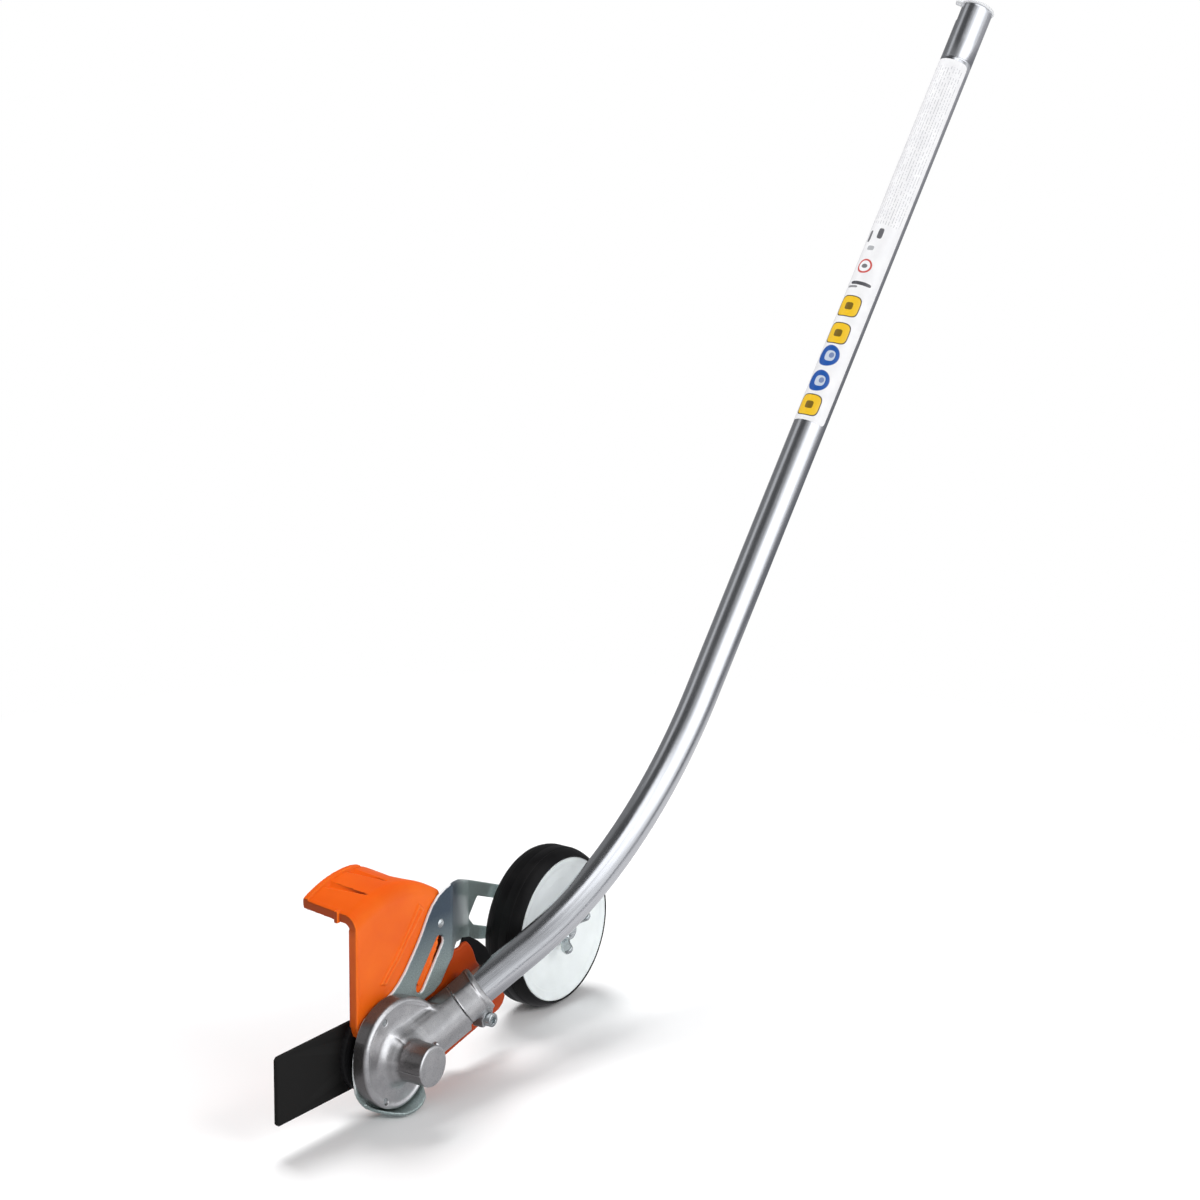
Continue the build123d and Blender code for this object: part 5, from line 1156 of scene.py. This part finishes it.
floor = stage_plane("floor", 60, ground)
fm, nt, b = new_mat("floor_paint")
b.inputs["Base Color"].default_value = (0.96, 0.96, 0.965, 1)
nt.links.new(mathn(nt, "ADD", mathn(nt, "MULTIPLY", noise(nt, coords(nt, 1.0), 6.0, 3.0, 0.5), 0.1), 0.75), b.inputs["Roughness"])
b.inputs["Specular IOR Level"].default_value = 0.0
fgeo = nt.nodes.new("ShaderNodeNewGeometry")
fsub = nt.nodes.new("ShaderNodeVectorMath")
fsub.operation = "DISTANCE"
fsub.inputs[1].default_value = (0.60, 0.0, ground)
nt.links.new(fgeo.outputs["Position"], fsub.inputs[0])
far = mathn(nt, "DIVIDE", mathn(nt, "SUBTRACT", fsub.outputs["Value"], 0.45), 0.45, clamp=True)
flp = nt.nodes.new("ShaderNodeLightPath")
# the sweep fades to the white of the backdrop away from the object
white = nt.nodes.new("ShaderNodeEmission")
white.inputs["Color"].default_value = (1, 1, 1, 1)
fade = nt.nodes.new("ShaderNodeMixShader")
nt.links.new(far, fade.inputs[0])
nt.links.new(b.outputs[0], fade.inputs[1])
nt.links.new(white.outputs[0], fade.inputs[2])
# in polished metal the floor is seen as a painted glow: a painted shadow around the gearbox, a lighter ring, then dark
# as behind black cards, lighter again far off
dim = nt.nodes.new("ShaderNodeEmission")
fd2 = nt.nodes.new("ShaderNodeVectorMath")
fd2.operation = "DISTANCE"
fd2.inputs[1].default_value = (AX / 1000, 0.0, ground)
nt.links.new(fgeo.outputs["Position"], fd2.inputs[0])
dimc = ramp(nt, mathn(nt, "DIVIDE", fd2.outputs["Value"], 5.0, clamp=True),
            [(0.0, (0.33, 0.33, 0.345)), (0.036, (0.34, 0.34, 0.355)), (0.075, (0.66, 0.66, 0.68)), (0.15, (0.70, 0.70, 0.72)), (0.23, (0.13, 0.135, 0.15)),
             (0.32, (0.15, 0.155, 0.17)), (0.9, (0.42, 0.42, 0.44))])
nt.links.new(dimc, dim.inputs["Color"])
swap = nt.nodes.new("ShaderNodeMixShader")
nt.links.new(flp.outputs["Is Glossy Ray"], swap.inputs[0])
nt.links.new(fade.outputs[0], swap.inputs[1])
nt.links.new(dim.outputs[0], swap.inputs[2])
out = [n for n in nt.nodes if n.type == "OUTPUT_MATERIAL"][0]
nt.links.new(swap.outputs[0], out.inputs["Surface"])
floor.data.materials.append(fm)

world = bpy.data.worlds.new("studio")
bpy.context.scene.world = world
world.use_nodes = True
wt = world.node_tree
bg = wt.nodes["Background"]
bg.inputs["Strength"].default_value = 1.0
tc = wt.nodes.new("ShaderNodeTexCoord")
sep = wt.nodes.new("ShaderNodeSeparateXYZ")
wt.links.new(tc.outputs["Generated"], sep.inputs[0])
wx, wy, wz = sep.outputs[0], sep.outputs[1], sep.outputs[2]


def step(v, lo, hi):
    return mathn(wt, "DIVIDE", mathn(wt, "SUBTRACT", v, lo), hi - lo, clamp=True)


def mul(*v):
    r = v[0]
    for k in v[1:]:
        r = mathn(wt, "MULTIPLY", r, k)
    return r


def add(*v):
    r = v[0]
    for k in v[1:]:
        r = mathn(wt, "ADD", r, k)
    return r


# what polished metal sees: a wide white box on the left, a thin one on the
# right, and black cards overhead
top_dark = mul(step(wz, 0.62, 0.80), step(wy, 0.12, -0.04))
base = add(0.20, mul(step(wy, 0.02, 0.26), 0.17), mul(top_dark, -0.12))
side = mul(step(wy, 0.40, 0.62), step(wx, -0.52, -0.30))
back = mul(step(wy, 0.30, 0.50), step(wx, -0.40, -0.55), step(wz, 0.50, 0.25))
strip = mul(step(wy, -0.86, -0.78), step(wy, -0.56, -0.66), step(wx, -0.05, 0.08), step(wz, 0.1, 0.3))
over = mul(step(wz, 0.82, 0.90), step(wy, 0.0, 0.10), step(wy, 0.56, 0.44), step(wx, 0.36, 0.26), step(wx, -0.46, -0.34))
glow = add(base, mul(side, 1.15), mul(back, 0.40), mul(strip, 0.42), mul(over, 1.1))
cc = wt.nodes.new("ShaderNodeCombineXYZ")
wt.links.new(mul(glow, 0.985), cc.inputs[0])
wt.links.new(glow, cc.inputs[1])
wt.links.new(mul(glow, 1.03), cc.inputs[2])
soft = ramp(wt, wz, [(0.0, grey(0.42)), (0.35, grey(0.36)), (1.0, grey(0.34))])
lp = wt.nodes.new("ShaderNodeLightPath")
seen = mix(wt, lp.outputs["Is Glossy Ray"], soft, cc.outputs[0])
wt.links.new(mix(wt, lp.outputs["Is Camera Ray"], seen, (1.0, 1.0, 1.0)), bg.inputs["Color"])

target = Vector((0.38, 0.0, -0.32))


def area(name, direction, distance, size, power, shadow=True, colour=(1, 1, 1), aim=None):
    l = bpy.data.lights.new(name, "AREA")
    l.shape = "RECTANGLE"
    l.size, l.size_y = size
    l.energy = power
    l.color = colour
    l.cycles.cast_shadow = shadow
    o = bpy.data.objects.new(name, l)
    bpy.context.scene.collection.objects.link(o)
    d = Vector(direction).normalized()
    at = Vector(aim) if aim else target
    o.location = at + d * distance
    o.rotation_mode = "QUATERNION"
    o.rotation_quaternion = (-d).to_track_quat("-Z", "Y")
    o.visible_glossy = False
    return o


area("key_top", (-0.35, -0.75, 1.35), 2.6, (1.3, 1.3), 62, True)
area("side_box", (0.12, 0.87, 0.42), 2.2, (1.7, 1.1), 24, False)
area("front_fill", (0.9, 0.35, 0.5), 3.0, (1.6, 1.2), 12, False)

cam_data = bpy.data.cameras.new("camera")
cam = bpy.data.objects.new("camera", cam_data)
bpy.context.scene.collection.objects.link(cam)
cam_data.lens, cam_data.sensor_width = 135.0, 36.0
pos, aim = Vector((3.0910, 1.7718, 0.5691)), Vector((0.5212, 0.0003, -0.3612))
cam.location = pos
q = (aim - pos).to_track_quat("-Z", "Y")
roll = math.radians(0.38)
cam.rotation_mode = "QUATERNION"
cam.rotation_quaternion = q @ Matrix.Rotation(roll, 3, "Z").to_quaternion()
cam_data.clip_start, cam_data.clip_end = 0.05, 200
bpy.context.scene.camera = cam
bpy.context.scene.view_settings.view_transform = "Standard"
bpy.context.scene.view_settings.look = "None"
